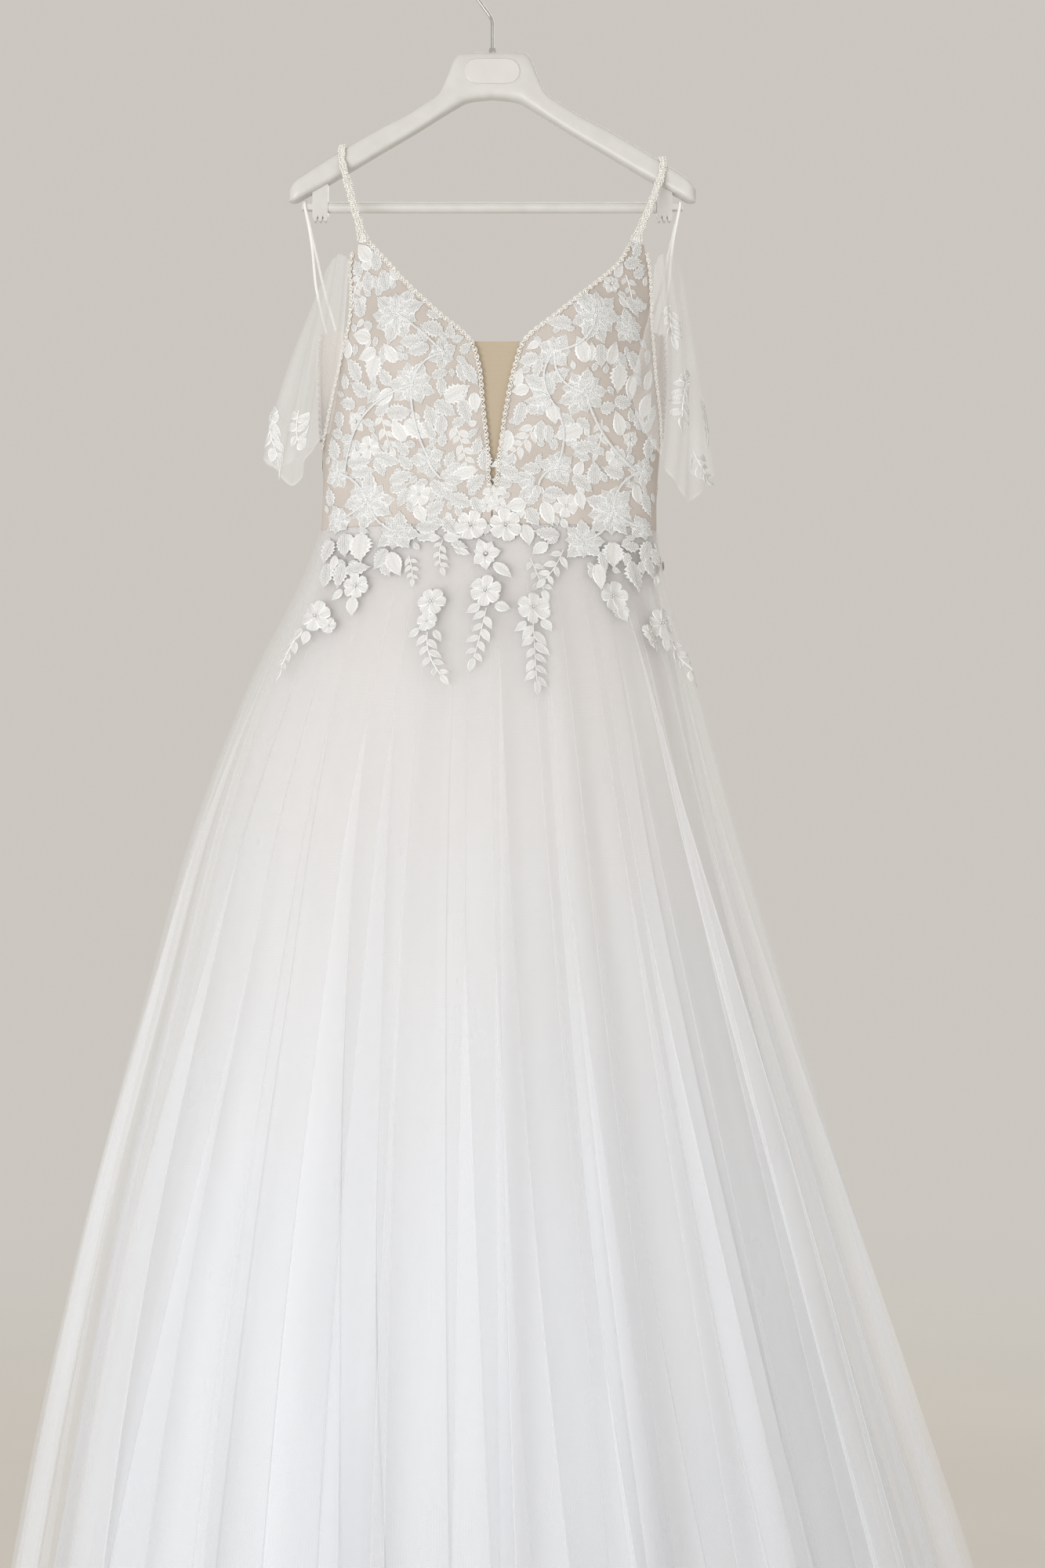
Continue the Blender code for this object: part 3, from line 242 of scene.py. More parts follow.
class Finish:
    """A node material, built up step by step.  An input takes a number, a colour or a socket."""

    def __init__(self, name, **values):
        self.material = bpy.data.materials.new(name)
        self.material.use_nodes = True
        self.tree = self.material.node_tree
        self.shader = self.tree.nodes["Principled BSDF"]
        self.feed(self.shader, {key.replace("_", " "): value for key, value in values.items()})

    def feed(self, node, inputs):
        for key, value in inputs.items():
            if isinstance(value, bpy.types.NodeSocket):
                self.tree.links.new(value, node.inputs[key])
            else:
                colour = node.inputs[key].type == "RGBA"
                node.inputs[key].default_value = (*value, 1.0) if colour else value

    def node(self, kind, inputs, out=0, **settings):
        made = self.tree.nodes.new("ShaderNode" + kind)
        for key, value in settings.items():
            setattr(made, key, value)
        self.feed(made, inputs)
        return made.outputs[out]

    def where(self, kind="Object"):
        return self.node("TexCoord", {}, kind)

    def noise(self, scale, detail=2.0, stretch=None, roughness=0.5):
        where = self.where()
        if stretch:
            where = self.node("Mapping", {"Vector": where, "Scale": stretch})
        return self.node("TexNoise", {"Vector": where, "Scale": scale, "Detail": detail,
                                      "Roughness": roughness}, "Fac")

    def ramp(self, value, *stops):
        made = self.tree.nodes.new("ShaderNodeValToRGB")
        elements = made.color_ramp.elements
        while len(elements) < len(stops):
            elements.new(0.5)
        for element, (position, colour) in zip(elements, stops):
            element.position = position
            element.color = (*colour, 1.0)
        self.feed(made, {"Fac": value})
        return made.outputs["Color"]

    def paint(self, value, *stops):
        self.feed(self.shader, {"Base Color": self.ramp(value, *stops)})

    def math(self, operation, *values, clamp=False):
        return self.node("Math", dict(enumerate(values)), operation=operation, use_clamp=clamp)

    def attribute(self, name):
        return self.node("Attribute", {}, "Fac", attribute_name=name)

    def drop(self, top, low):
        """0 above the height top, and 1 below low."""
        height = self.node("SeparateXYZ", {"Vector": self.where()}, "Z")
        return self.node("MapRange", {"Value": height, "From Min": top, "From Max": low})

    def bump(self, height, strength, distance):
        normal = self.node("Bump", {"Height": height, "Strength": strength, "Distance": distance})
        self.feed(self.shader, {"Normal": normal})

    def net(self, pitch, thread=0.30):
        """A woven net: 1 on its threads and 0 in its gaps, at the given pitch in metres."""
        lines = []
        for axis in "XY":
            where = self.node("SeparateXYZ", {"Vector": self.where("UV")}, axis)
            wave = self.math("COSINE", self.math("MULTIPLY", where, 2 * PI / pitch))
            lines.append(self.math("MULTIPLY_ADD", wave, 0.5, 0.5))
        return self.node("MapRange", {"Value": self.math("MAXIMUM", *lines),
                                      "From Min": 0.75 - thread, "From Max": 1.25 - thread})

    def see_through(self, surface, dense):
        """The surface where dense is 1, and nothing where it is 0."""
        mixed = self.node("MixShader", {0: dense, 1: self.node("BsdfTransparent", {}), 2: surface})
        self.feed(self.tree.nodes["Material Output"], {"Surface": mixed})


WARM, WHITE = (0.900, 0.893, 0.890), (0.905, 0.915, 0.940)       # of the tulle, at waist and hem
TULLE_PITCH, BODICE_PITCH, MESH_PITCH, STITCH = 0.0011, 0.0014, 0.0010, 0.0021


def sheer(name, opacity, grain, colour=WHITE):
    """Fine tulle: a net that lets light through, and glows a little from behind."""
    made = Finish(name, Roughness=0.75, Sheen_Weight=0.25, Sheen_Roughness=0.4,
                  Specular_IOR_Level=0.25)
    tone = made.ramp(made.drop(-0.66, -1.30), (0.0, WARM), (1.0, colour))
    made.feed(made.shader, {"Base Color": tone})
    glow = made.node("BsdfTranslucent", {"Color": tone})
    cloth = made.node("MixShader", {0: 0.35, 1: made.shader.outputs["BSDF"], 2: glow})
    clouds = made.noise(18.0, 3.0, (1.0, 1.0, 0.25), 0.6)
    dense = made.math("ADD", made.math("MULTIPLY_ADD", made.net(TULLE_PITCH), grain,
                                       opacity - 0.5 * grain),
                      made.math("MULTIPLY_ADD", clouds, 0.16, -0.08), clamp=True)
    # the dense attribute adds opacity: on the skirt it holds the painted bright lines along the folds'
    # turned edges
    made.see_through(cloth, made.math("ADD", dense, made.attribute("dense"), clamp=True))
    return made


def clouded(name, tint, stops, grain=None, **values):
    """A finish whose noise, tint, runs through the stops; grain is its fine bump."""
    made = Finish(name, **values)
    made.paint(made.noise(*tint), *stops)
    if grain:
        scale, detail, strength, distance = grain
        made.bump(made.noise(scale, detail), strength, distance)
    return made


def bodice_net():
    """Blush net under the lace, and pale lining on its inside."""
    made = Finish("bodice_net", Roughness=0.72, Sheen_Weight=0.15)
    net = made.net(BODICE_PITCH, 0.34)
    under = made.ramp(made.noise(26.0, 3.0), (0.30, (0.470, 0.408, 0.362)),
                      (0.70, (0.545, 0.484, 0.436)))
    threads = made.node("Mix", {0: made.math("MULTIPLY", net, 0.45), 6: under,
                                7: (0.650, 0.598, 0.555)}, 2, data_type="RGBA")
    lined = made.node("Mix", {0: made.attribute("inside"), 6: threads, 7: (0.800, 0.745, 0.705)}, 2,
                      data_type="RGBA")
    made.feed(made.shader, {"Base Color": lined})
    made.bump(net, 0.25, 0.0003)
    return made


def ivory_lace():
    """Satin stitch between raised cords."""
    made = Finish("ivory_lace", Roughness=0.62, Sheen_Weight=0.35, Sheen_Roughness=0.35,
                  Specular_IOR_Level=0.35)
    wave = made.math("SINE", made.math("MULTIPLY", made.attribute("stitch"), 2 * PI / STITCH))
    thread = made.math("ADD", made.math("MULTIPLY", wave, 0.26), made.noise(900.0))
    tone = made.math("ADD", made.math("MULTIPLY", thread, 0.45),
                     made.math("MULTIPLY", made.attribute("rim"), 0.55))
    made.paint(tone, (0.0, (0.52, 0.50, 0.475)), (0.24, (0.70, 0.685, 0.665)),
               (0.50, (0.845, 0.84, 0.83)), (0.85, (0.93, 0.928, 0.92)))
    made.bump(thread, 0.55, 0.0005)
    return made


def nude_mesh():
    made = Finish("nude_mesh", Roughness=0.80, Sheen_Weight=0.2)
    net = made.net(MESH_PITCH, 0.4)
    made.paint(net, (0.1, (0.430, 0.345, 0.240)), (0.9, (0.500, 0.415, 0.305)))
    made.bump(net, 0.2, 0.0002)
    return made


def blush_lining():
    """Blush under the bodice and white towards the hem."""
    made = Finish("blush_lining", Roughness=0.55, Sheen_Weight=0.3)
    clouds = made.math("MULTIPLY_ADD", made.noise(7.0, 3.0, (1.0, 1.0, 0.3)), 0.24, -0.12)
    made.paint(made.math("ADD", made.drop(-0.62, -1.75), clouds, clamp=True),
               (0.0, (0.715, 0.640, 0.600)), (0.30, (0.775, 0.740, 0.720)),
               (0.65, (0.84, 0.84, 0.85)), (1.0, (0.86, 0.875, 0.90)))
    made.bump(made.noise(1500.0), 0.10, 0.0003)
    return made


FINISHES = {
    "plastic": clouded("hanger_plastic", (60.0, 3.0),
                       ((0.3, (0.620, 0.605, 0.575)), (0.7, (0.660, 0.645, 0.615))),
                       (900.0, 2.0, 0.06, 0.0004), Roughness=0.34, Specular_IOR_Level=0.45),
    "plate": clouded("badge_plastic", (40.0,),
                     ((0.3, (0.665, 0.645, 0.615)), (0.7, (0.695, 0.675, 0.645))),
                     (700.0, 2.0, 0.04, 0.0003), Roughness=0.26),
    "chrome": clouded("hook_chrome", (220.0, 4.0),
                      ((0.35, (0.60, 0.59, 0.58)), (0.65, (0.70, 0.69, 0.68))),
                      (1400.0, 2.0, 0.05, 0.0002), Roughness=0.16, Metallic=1.0),
    "bodice": bodice_net(),
    "lace": ivory_lace(),
    "beads": clouded("pearl_beads", (520.0, 1.0),
                     ((0.30, (0.84, 0.835, 0.825)), (0.50, (0.93, 0.93, 0.925)),
                      (0.75, (0.98, 0.98, 0.98))),
                     (2400.0, 1.0, 0.05, 0.0002), Roughness=0.38, Coat_Weight=0.35,
                     Coat_Roughness=0.15),
    "cream": clouded("cream_beads", (420.0, 1.0),
                     ((0.30, (0.78, 0.735, 0.66)), (0.55, (0.90, 0.875, 0.83)),
                      (0.80, (0.97, 0.965, 0.95))),
                     (2400.0, 1.0, 0.05, 0.0002), Roughness=0.28, Coat_Weight=0.5,
                     Coat_Roughness=0.15),
    "satin": clouded("ivory_satin", (90.0, 3.0, (1.0, 1.0, 0.2)),
                     ((0.3, (0.80, 0.78, 0.745)), (0.7, (0.87, 0.855, 0.83))),
                     (1600.0, 2.0, 0.12, 0.0003), Roughness=0.38, Sheen_Weight=0.2,
                     Anisotropic=0.4),
    "nude": nude_mesh(),
    "lining": blush_lining(),
    "outer": sheer("tulle_outer", 0.15, 0.07),
    "second": sheer("tulle_second", 0.20, 0.08),
    "middle": sheer("tulle_middle", 0.64, 0.10, (0.908, 0.914, 0.928)),
    "sleeve": sheer("tulle_sleeve", 0.28, 0.09),
    "floor": clouded("floor", (3.0,), ((0.3, (0.70, 0.665, 0.615)), (0.7, (0.73, 0.695, 0.645))),
                     Roughness=0.9),
}
MATERIALS = {name: made.material for name, made in FINISHES.items()}

# ---------------- surfaces of the dress


def of_side(table, x, height, start=""):
    """The table's value for the right where x is positive, and for the left elsewhere."""
    return np.where(x >= 0, table.at(start + "right", height), table.at(start + "left", height))


def reaches(sections, angle, height):
    """The sine and cosine of an angle, and how far the section reaches to that side and depth."""
    s, c = np.sin(np.radians(angle)), np.cos(np.radians(angle))
    depth = np.where(c >= 0, sections.at("front", height), sections.at("back", height))
    return s, c, of_side(sections, s, height), depth


def ring(sections, angle, height, share=1.0, tuck=0.0):
    """A point on a section of the body: angle 0 is the middle of the front, 90 the right side."""
    s, c, side, depth = reaches(sections, angle, height)
    return stack((side * share - tuck) * s, -(depth * share - tuck) * c, height)


def bodice(angle, height):
    point = ring(BODICE, angle, height)
    front = np.cos(np.radians(angle))
    for cup in CUPS.rows():
        across = (point[..., 0] - cup["x"]) / cup["half_width"]
        along = (np.asarray(height) - cup["height"]) / cup["half_height"]
        point[..., 1] -= (front > 0) * cup["depth"] * np.exp(-across**2 - along**2) * fade(front * 3)
    return point


def bodice_and_out(angle, height):
    """Points on the bodice, and the way out of it at each."""
    return bodice(angle, height), normals_of(bodice, angle, height)


def angle_at(x, height):
    """The angle at which the front of the bodice reaches x."""
    x = np.asarray(x, float)
    return np.degrees(np.arcsin(np.clip(x / of_side(BODICE, x, height), -1, 1)))


def hem_height(angle):
    return FRONT_HEM + (BACK_HEM - FRONT_HEM) * ((1 - np.cos(np.radians(angle))) / 2) ** HEM_SWEEP


def skirt_height(angle, share):
    """The height a share of the way from the waist seam to the hem."""
    return WAIST - SEAM_GAP + (hem_height(angle) - WAIST + SEAM_GAP) * share


def fold_depth(angle):
    """How deep the folds are at an angle, from each crest to the next."""
    crests, depths = list(FOLDS.key), list(FOLDS.columns["depth"])
    angle = np.mod(np.asarray(angle, float) + 90, 360) - 90
    crests = np.array([crests[-1] - 360] + crests + [crests[0] + 360])
    depths = np.array([depths[-1]] + depths + [depths[0]])
    i = np.clip(np.searchsorted(crests, angle) - 1, 0, len(crests) - 2)
    t = (angle - crests[i]) / (crests[i + 1] - crests[i])
    return np.where(t < 0.5, depths[i], depths[i + 1]) * (0.5 + 0.5 * np.cos(2 * PI * t))


# For each layer: its share of the folds' depth, how far it stands off and how far it is tucked in
LAYER_FORM = {"outer": (0.92, 0.0026, 0.0), "second": (0.70, 0.0019, 0.0013),
              "middle": (0.45, 0.0013, 0.0026), "lining": (0.25, 0.0, 0.0048)}
SKIRT_INSET = 0.0016         # of the innermost layer, from the section's line
TUCK_DROP = 0.060            # over which the layers part, below the waist
FOLD_GROWTH = 0.85           # below 1, the folds grow faster near the waist


def skirt(layer, angle, height, out=0.0):
    """A layer of the skirt, and out more metres level with it."""
    fold_share, offset, apart = LAYER_FORM[layer]
    tuck = apart * fade((WAIST - height) / TUCK_DROP)
    point = ring(SKIRT, angle, height, LAYERS.at(layer, height), tuck)
    s, c, side, depth = reaches(SKIRT, angle, height)
    level = unit(stack(s / side, -c / depth, 0.0 * s * height))
    grown = np.maximum((WAIST - height) / (WAIST - FRONT_HEM), 0.0)
    lift = fold_share * fold_depth(angle) * grown**FOLD_GROWTH
    return point + level * (lift + offset - SKIRT_INSET + out)[..., None]


# ---------------- the skirt

# Where the tulle folds over itself: the fold's place at the waist, half way down and at the hem in
# degrees, the share of the way down where it starts to open, how far it overlaps at the hem in
# degrees and how far its two edges stand apart (the upper edge points right, or left if negative)
LAP_COLUMNS = "waist middle hem opens width stand"
FRONT_LAPS = Table(LAP_COLUMNS,
    (-78, -79, -80, 0.3, 3.5, -0.008), (-67, -70, -71.5, 0.15, 6, -0.012),
    (-51, -54, -56, 0.25, 7.5, 0.014), (-38, -36.5, -35.5, 0.45, 4, 0.008),
    (-29, -25, -21.5, 0.16, 9, -0.014), (-17, -14, -12.5, 0.04, 1.6, 0.01),
    (-6, -3.5, -1.5, 0.35, 4.5, 0.008), (2, 4, 7, 0.1, 6, 0.011), (11, 13.5, 16.5, 0.28, 3.6, -0.008),
    (21, 22, 25, 0.2, 5, -0.011), (30, 31, 33.5, 0.32, 4.4, 0.009), (38, 40, 42, 0.48, 3, -0.006),
    (46, 50, 51.5, 0.04, 3.2, 0.024), (58, 60.5, 62, 0.24, 5, 0.01), (67, 69, 70.5, 0.12, 4, 0.011),
    (77, 78.5, 79.5, 0.38, 4, 0.008))
BACK_LAPS = Table(LAP_COLUMNS,
    (101, 101, 100.5, 0.3, 4, 0.008), (112, 112, 111, 0.2, 6, -0.012), (125, 125, 124.5, 0.4, 4, 0.008),
    (136, 139, 141, 0.12, 8, 0.012), (150, 152, 154, 0.35, 3.6, -0.008), (163, 165, 166, 0.2, 5, 0.009),
    (176, 178, 179, 0.1, 7, -0.012), (190, 192, 194, 0.4, 3.4, 0.007), (204, 208, 210, 0.18, 7, -0.011),
    (220, 222, 224, 0.3, 4.4, 0.009), (234, 236, 237, 0.45, 4, -0.008), (246, 248, 249, 0.16, 5.6, 0.01),
    (258, 259, 260, 0.32, 3.6, -0.008))
LEAST_LAP = 0.30             # degrees, above the place where a fold opens
LAP_BEND = 0.085             # degrees over which the cloth turns back
LAP_SPREAD = 2.4             # degrees over which a fold's edges settle to the cloth beside them
LAP_STEPS = (-1.0, -0.86, -0.60, 0.0, 0.60, 0.86, 1.0)      # columns across a fold
EDGE_STEPS = (0.09, 0.22, 0.50, 1.10, 2.20)                 # and beside it, in degrees
END_ROOM = 5                 # degrees kept free of folds beside a seam
EDGE_PAINTED_LINE = 0.50             # painted highlight: how much more opaque the net is painted along a fold's turned edge
# Loose waves in the tulle: how many round the dress, and how deep they are
WAVES = ((5.0, 0.0042), (8.0, 0.0034), (13.0, 0.0022), (31.0, 0.0007))
# For each layer of tulle: its rows of points, how far its folds are turned in degrees, their size,
# where its waves start and which of the listed folds it has, each or every second or third
TULLE_LAYERS = (("outer", 80, 0.0, 1.25, 0.4, 1), ("second", 60, 5.2, 1.1, 2.1, 2),
                ("middle", 50, -4.4, 0.6, 4.3, 3))
PANEL_ENDS = {"front": (-90.0, 90.0), "back": (90.0, 270.0), "back_right": (90.0, 180.0),
              "back_left": (180.0, 270.0)}


def soft_clip(q, half):
    """q held between -half and half, with rounded corners."""
    rise = np.logaddexp(0, (q + half) / LAP_BEND) - np.logaddexp(0, (q - half) / LAP_BEND)
    return LAP_BEND * rise - half


def lapped_columns(laps, ends, share, shift, size, every):
    """Columns of cloth that follow each fold down: their angles, and their places in the folds."""
    low, high = ends[0] + END_ROOM, ends[1] - END_ROOM
    rows = [row for row in laps.rows()[::every]
            if low < row["hem"] + shift < high and low < row["waist"] + shift < high]
    top, middle, hem, opens, width = (np.array([row[name] for row in rows])
                                      for name in ("waist", "middle", "hem", "opens", "width"))
    s = share[:, None]
    centre = through(top, middle, hem, s) + shift
    half = np.maximum(width * size * np.clip((s - opens) / (1 - opens), 0, 1) ** 0.8, LEAST_LAP) / 2
    angle, owner, along = [], [], []

    def add(at, fold, q=0.0):
        angle.append(at + 0 * share)
        owner.append(fold)
        along.append(q + 0 * share)

    def between(start, end, fold):
        for t in (0.125, 0.375, 0.625, 0.875):
            add(start * (1 - t) + end * t, fold - 0.5)

    before = ends[0] + 0 * share
    add(before, -0.5)
    for fold in range(len(rows)):
        c, h = centre[:, fold], half[:, fold]
        between(before, c + h - EDGE_STEPS[-1], fold)
        for q in ([-h - step for step in EDGE_STEPS[::-1]] + [h * step for step in LAP_STEPS]
                  + [h + step for step in EDGE_STEPS]):
            add(c + q - 2 * soft_clip(q, h), fold, q)
        before = c - h + EDGE_STEPS[-1]
    between(before, ends[1] + 0 * share, len(rows))
    add(ends[1], len(rows) - 0.5)
    return rows, centre, half, np.stack(angle, 1), np.array(owner), np.stack(along, 1)


def lapped_tulle(layer, laps, ends, row_count, shift, size, seed, every):
    """A layer of tulle from the waist to the hem, and how much more opaque its net is painted at each
    point, in bright lines along the folds' turned edges.
    """
    share = np.linspace(0.0, 1.0, row_count) ** 1.1
    rows, centre, half, angle, owner, along = lapped_columns(laps, ends, share, shift, size, every)
    grown = (fade(share * 2.4) * (0.30 + 0.70 * share))[:, None]
    stand, dense = np.zeros_like(angle), np.zeros_like(angle)
    for fold, row in enumerate(rows):
        c, h = centre[:, fold:fold + 1], half[:, fold:fold + 1]
        spread = 2 * h + LAP_SPREAD
        mine = (-soft_clip(along, h) / h
                * np.exp(-(np.maximum(np.abs(along) - h, 0.0) / spread) ** 2))
        ahead = np.exp(-(np.maximum(c + h - angle, 0.0) / spread) ** 2)
        past = -np.exp(-(np.maximum(angle - c + h, 0.0) / spread) ** 2)
        shape = np.where(owner == fold, mine, np.where(owner < fold, ahead, past))
        stand += 0.5 * row["stand"] * size * shape * grown
        # Painted highlight: each fold's turned edge is made more opaque in a narrow band, a bright line
        # standing for the net seen edge-on; it is fainter on the front's sides, past 64 degrees.
        edge = np.exp(-((np.abs(along) - h) / 0.14) ** 2) * (owner == fold)
        glow = EDGE_PAINTED_LINE * size * (0.30 + 0.70 * min(abs(row["stand"]) / 0.012, 1.0))
        glow *= 1 - 0.75 * fade((abs(row["hem"]) - 64) / 8) * (row["hem"] < 90)
        dense += glow * edge * (0.40 + 0.60 * fade(h / 0.8)) * fade(share * 8)[:, None]
    turn = np.radians(angle)
    for count, depth in WAVES:
        lean = seed + count * 1.7
        stand += depth * np.sin(turn * count + lean + 0.9 * np.sin(3 * share[:, None] + lean)) * grown
    side = fade(np.minimum(angle - ends[0], ends[1] - angle) / 4.0)
    return skirt(layer, angle, skirt_height(angle, share[:, None]), stand * side), dense


def add_skirt_panel(name, part, grid, finish, slot, node, values=None):
    piece, area = add_cloth(name, grid, finish, slot, node, values)


def make_skirt():
    for layer, rows, *form in TULLE_LAYERS:
        for part, laps, count in (("front", FRONT_LAPS, rows), ("back", BACK_LAPS, int(rows * 0.7))):
            grid, dense = lapped_tulle(layer, laps, PANEL_ENDS[part], count, *form)
            node = f"skirt_{'middle' if layer == 'middle' else 'outer'}_{part}"
            add_skirt_panel(f"tulle_{layer}_{part}", part, grid, layer, "tulle", node,
                            {"dense": dense})
    for part, columns in (("front", 160), ("back_right", 84), ("back_left", 84)):
        start, end = PANEL_ENDS[part]
        share = np.linspace(0.0, 1.0, 44)[:, None]
        angle = np.linspace(start, end, columns)[None, :]
        soft = 0.004 * np.sin(np.radians(angle * 9)) + 0.003 * np.sin(np.radians(angle * 17 + 40))
        edge = fade(np.minimum(angle - start, end - angle) / 5.0)
        height = skirt_height(angle, share)
        grid = skirt("lining", np.broadcast_to(angle, height.shape), height,
                     soft * fade(share * 3) * edge)
        add_skirt_panel(f"lining_{part}", part, grid, "lining", "lining", f"skirt_lining_{part}")


# ---------------- the bodice and the sleeves

SHELL = 0.0012                                # how thick the lined lace is
FRONT_END, BACK_START, BACK_END = 89.8, 90.2, 179.8      # the angles of the panels' seams
PLUNGE_LOW, PLUNGE_TOP = -0.5950, -0.4325     # the sheer panel, how far it reaches behind the lace
PLUNGE_LAP, PLUNGE_INSET = 0.008, 0.0030      # at each side, and how far it lies inside it


def front_panel(side):
    """Angles and heights over a front panel, from the neck to the armhole or the side."""
    height = WAIST + (PANEL_TOP - WAIST) * np.linspace(0, 1, 60)[:, None]
    neck = FRONT_EDGES.at("neck_" + side, height) + WAYS[side] * SEAM_GAP
    armhole = FRONT_EDGES.at("armhole_" + side, height)
    start, end = angle_at(neck, height), angle_at(armhole, height)
    at_side = np.abs(armhole) > 0.985 * BODICE.at(side, height)
    end = np.where(at_side, WAYS[side] * FRONT_END, end)
    angle = start + (end - start) * np.linspace(0, 1, 44)[None, :]
    return angle, np.broadcast_to(height, angle.shape)


def back_panel(side):
    """The same from the side seam to the closure."""
    spread = np.concatenate([np.linspace(BACK_START, 110, 18), np.linspace(110, BACK_END, 34)[1:]])
    angle = WAYS[side] * spread[None, :]
    height = (WAIST + (BACK_TOP.at("height", np.abs(angle)) - WAIST)
              * np.linspace(0, 1, 26)[:, None])
    return np.broadcast_to(angle, height.shape), height


def add_shell(name, node, side, outer, out):
    """A closed shell of lined lace: outer points, and the same points moved in."""
    rows, columns = outer.shape[:2]
    count = rows * columns
    index = np.arange(count).reshape(rows, columns)
    loop = np.concatenate([index[0], index[1:, -1], index[-1, -2::-1], index[-2:0:-1, 0]])
    after = np.roll(loop, -1)
    faces = np.concatenate([grid_faces(rows, columns),
                            grid_faces(rows, columns, start=count)[:, ::-1],
                            np.stack([after, loop, loop + count, after + count], axis=-1)])
    piece = add_mesh(name, np.concatenate([outer, outer - out * SHELL]), faces, "bodice", "lace",
                     node, {"inside": np.repeat((0.0, 1.0), count)},
                     np.concatenate([cloth_uv(outer)] * 2))
    piece.data.set_sharp_from_angle(angle=math.radians(50))


def make_bodice():
    for side in WAYS:
        outer, out = bodice_and_out(*front_panel(side))
        add_shell("bodice_panel_" + side, "bodice_front_" + side, side, outer, out)
        outer, out = bodice_and_out(*back_panel(side))
        if side == "left":
            outer, out = outer[:, ::-1], out[:, ::-1]
        add_shell("bodice_back_panel_" + side, "bodice_back_" + side, side, outer, out)
    height = np.linspace(PLUNGE_LOW, PLUNGE_TOP, 30)[:, None]
    left = FRONT_EDGES.at("neck_left", height) - PLUNGE_LAP
    right = FRONT_EDGES.at("neck_right", height) + PLUNGE_LAP
    x = left + (right - left) * np.linspace(0, 1, 24)[None, :]
    height = np.broadcast_to(height, x.shape)
    points, out = bodice_and_out(angle_at(x, height), height)
    piece, area = add_cloth("plunge_mesh", points - out * PLUNGE_INSET, "nude", "nude_mesh",
                            "modesty_panel")


LACE_ROOM, EDGE_ROOM = 0.0050, 0.0056         # between the sleeve and the bodice, more at its edge
SLEEVE_FOLD, SLEEVE_EDGE = 0.0040, 0.22       # how deep its folds are, and how dense its edges


def sleeve(side, column, drop):
    """A point of the loose sleeve: column goes round it and drop from its top to its hem."""
    table = SLEEVES[side]
    top, hem = (stack(*(table.at(end + axis, column) for axis in "xyz")) for end in ("top_", "hem_"))
    drop = np.asarray(drop, float)
    point = top + (hem - top) * drop[..., None]
    point[..., 0] += WAYS[side] * table.at("out", column) * np.sin(PI * drop)
    # where it lies on the front of the bodice, it stays outside the lace and the beaded edge
    x, y, z = (point[..., k] for k in range(3))
    inside = (y < 0) & (np.abs(x) < 0.98 * BODICE.at(side, z))
    near = fade(1.6 - np.abs(x - FRONT_EDGES.at("armhole_" + side, z)) / 0.008)
    limit = bodice(angle_at(x, z), z)[..., 1] - LACE_ROOM - EDGE_ROOM * near
    point[..., 1] = np.where(inside, np.minimum(y, limit), y)
    return point


def sleeve_cloth(side, column, drop):
    """The sleeve with its soft folds, which deepen towards the hem."""
    step = 0.02
    out = np.cross(sleeve(side, column + step, drop) - sleeve(side, column - step, drop),
                   sleeve(side, column, drop + step) - sleeve(side, column, drop - step))
    folds = np.sin(column * 2 * PI * 0.62 + 0.8) * 0.6 + np.sin(column * 2 * PI * 1.13) * 0.4
    depth = (SLEEVE_FOLD * folds * (0.30 + 0.70 * drop))[..., None]
    return sleeve(side, column, drop) - unit(out) * WAYS[side] * depth


# Sprigs on the sleeves: how far round and down they start, their length, pairs of leaves and turn
SPRIG_COLUMNS = "fold drop length pairs turn"
SLEEVE_SPRIGS = {
    "left": Table(SPRIG_COLUMNS,
        (3.2, 0.66, 0.036, 3, 265), (5, 0.74, 0.038, 4, 275)),
    "right": Table(SPRIG_COLUMNS,
        (2.4, 0.24, 0.032, 3, 275), (3.6, 0.52, 0.044, 4, 285), (4.4, 0.8, 0.038, 3, 262),
        (6.4, 0.6, 0.036, 3, 270)),
}


def make_sleeves():
    for side in WAYS:
        column, drop = np.meshgrid(np.linspace(0, 8, 130), np.linspace(0, 1, 52))
        edge = np.minimum(np.minimum(column, 8 - column) / 0.10, (1 - drop) / 0.02)
        piece, area = add_cloth("tulle_sleeve_" + side, sleeve_cloth(side, column, drop), "sleeve",
                                "tulle", "sleeve_" + side, {"dense": SLEEVE_EDGE * (1 - fade(edge))})


make_skirt()
make_bodice()
make_sleeves()

# ---------------- beads, straps, ribbons, buttons

OCTAHEDRON = (np.array([(1, 0, 0), (-1, 0, 0), (0, 1, 0), (0, -1, 0), (0, 0, 1), (0, 0, -1)], float),
              np.array([(0, 2, 4), (2, 1, 4), (1, 3, 4), (3, 0, 4),
                        (2, 0, 5), (1, 2, 5), (3, 1, 5), (0, 3, 5)]))
GOLD = (1 + 5 ** 0.5) / 2
ICOSAHEDRON = (unit(np.array([(-1, GOLD, 0), (1, GOLD, 0), (-1, -GOLD, 0), (1, -GOLD, 0),
                              (0, -1, GOLD), (0, 1, GOLD), (0, -1, -GOLD), (0, 1, -GOLD),
                              (GOLD, 0, -1), (GOLD, 0, 1), (-GOLD, 0, -1), (-GOLD, 0, 1)], float)),
               np.array([(0, 11, 5), (0, 5, 1), (0, 1, 7), (0, 7, 10), (0, 10, 11),
                         (1, 5, 9), (5, 11, 4), (11, 10, 2), (10, 7, 6), (7, 1, 8),
                         (3, 9, 4), (3, 4, 2), (3, 2, 6), (3, 6, 8), (3, 8, 9),
                         (4, 9, 5), (2, 4, 11), (6, 2, 10), (8, 6, 7), (9, 8, 1)]))

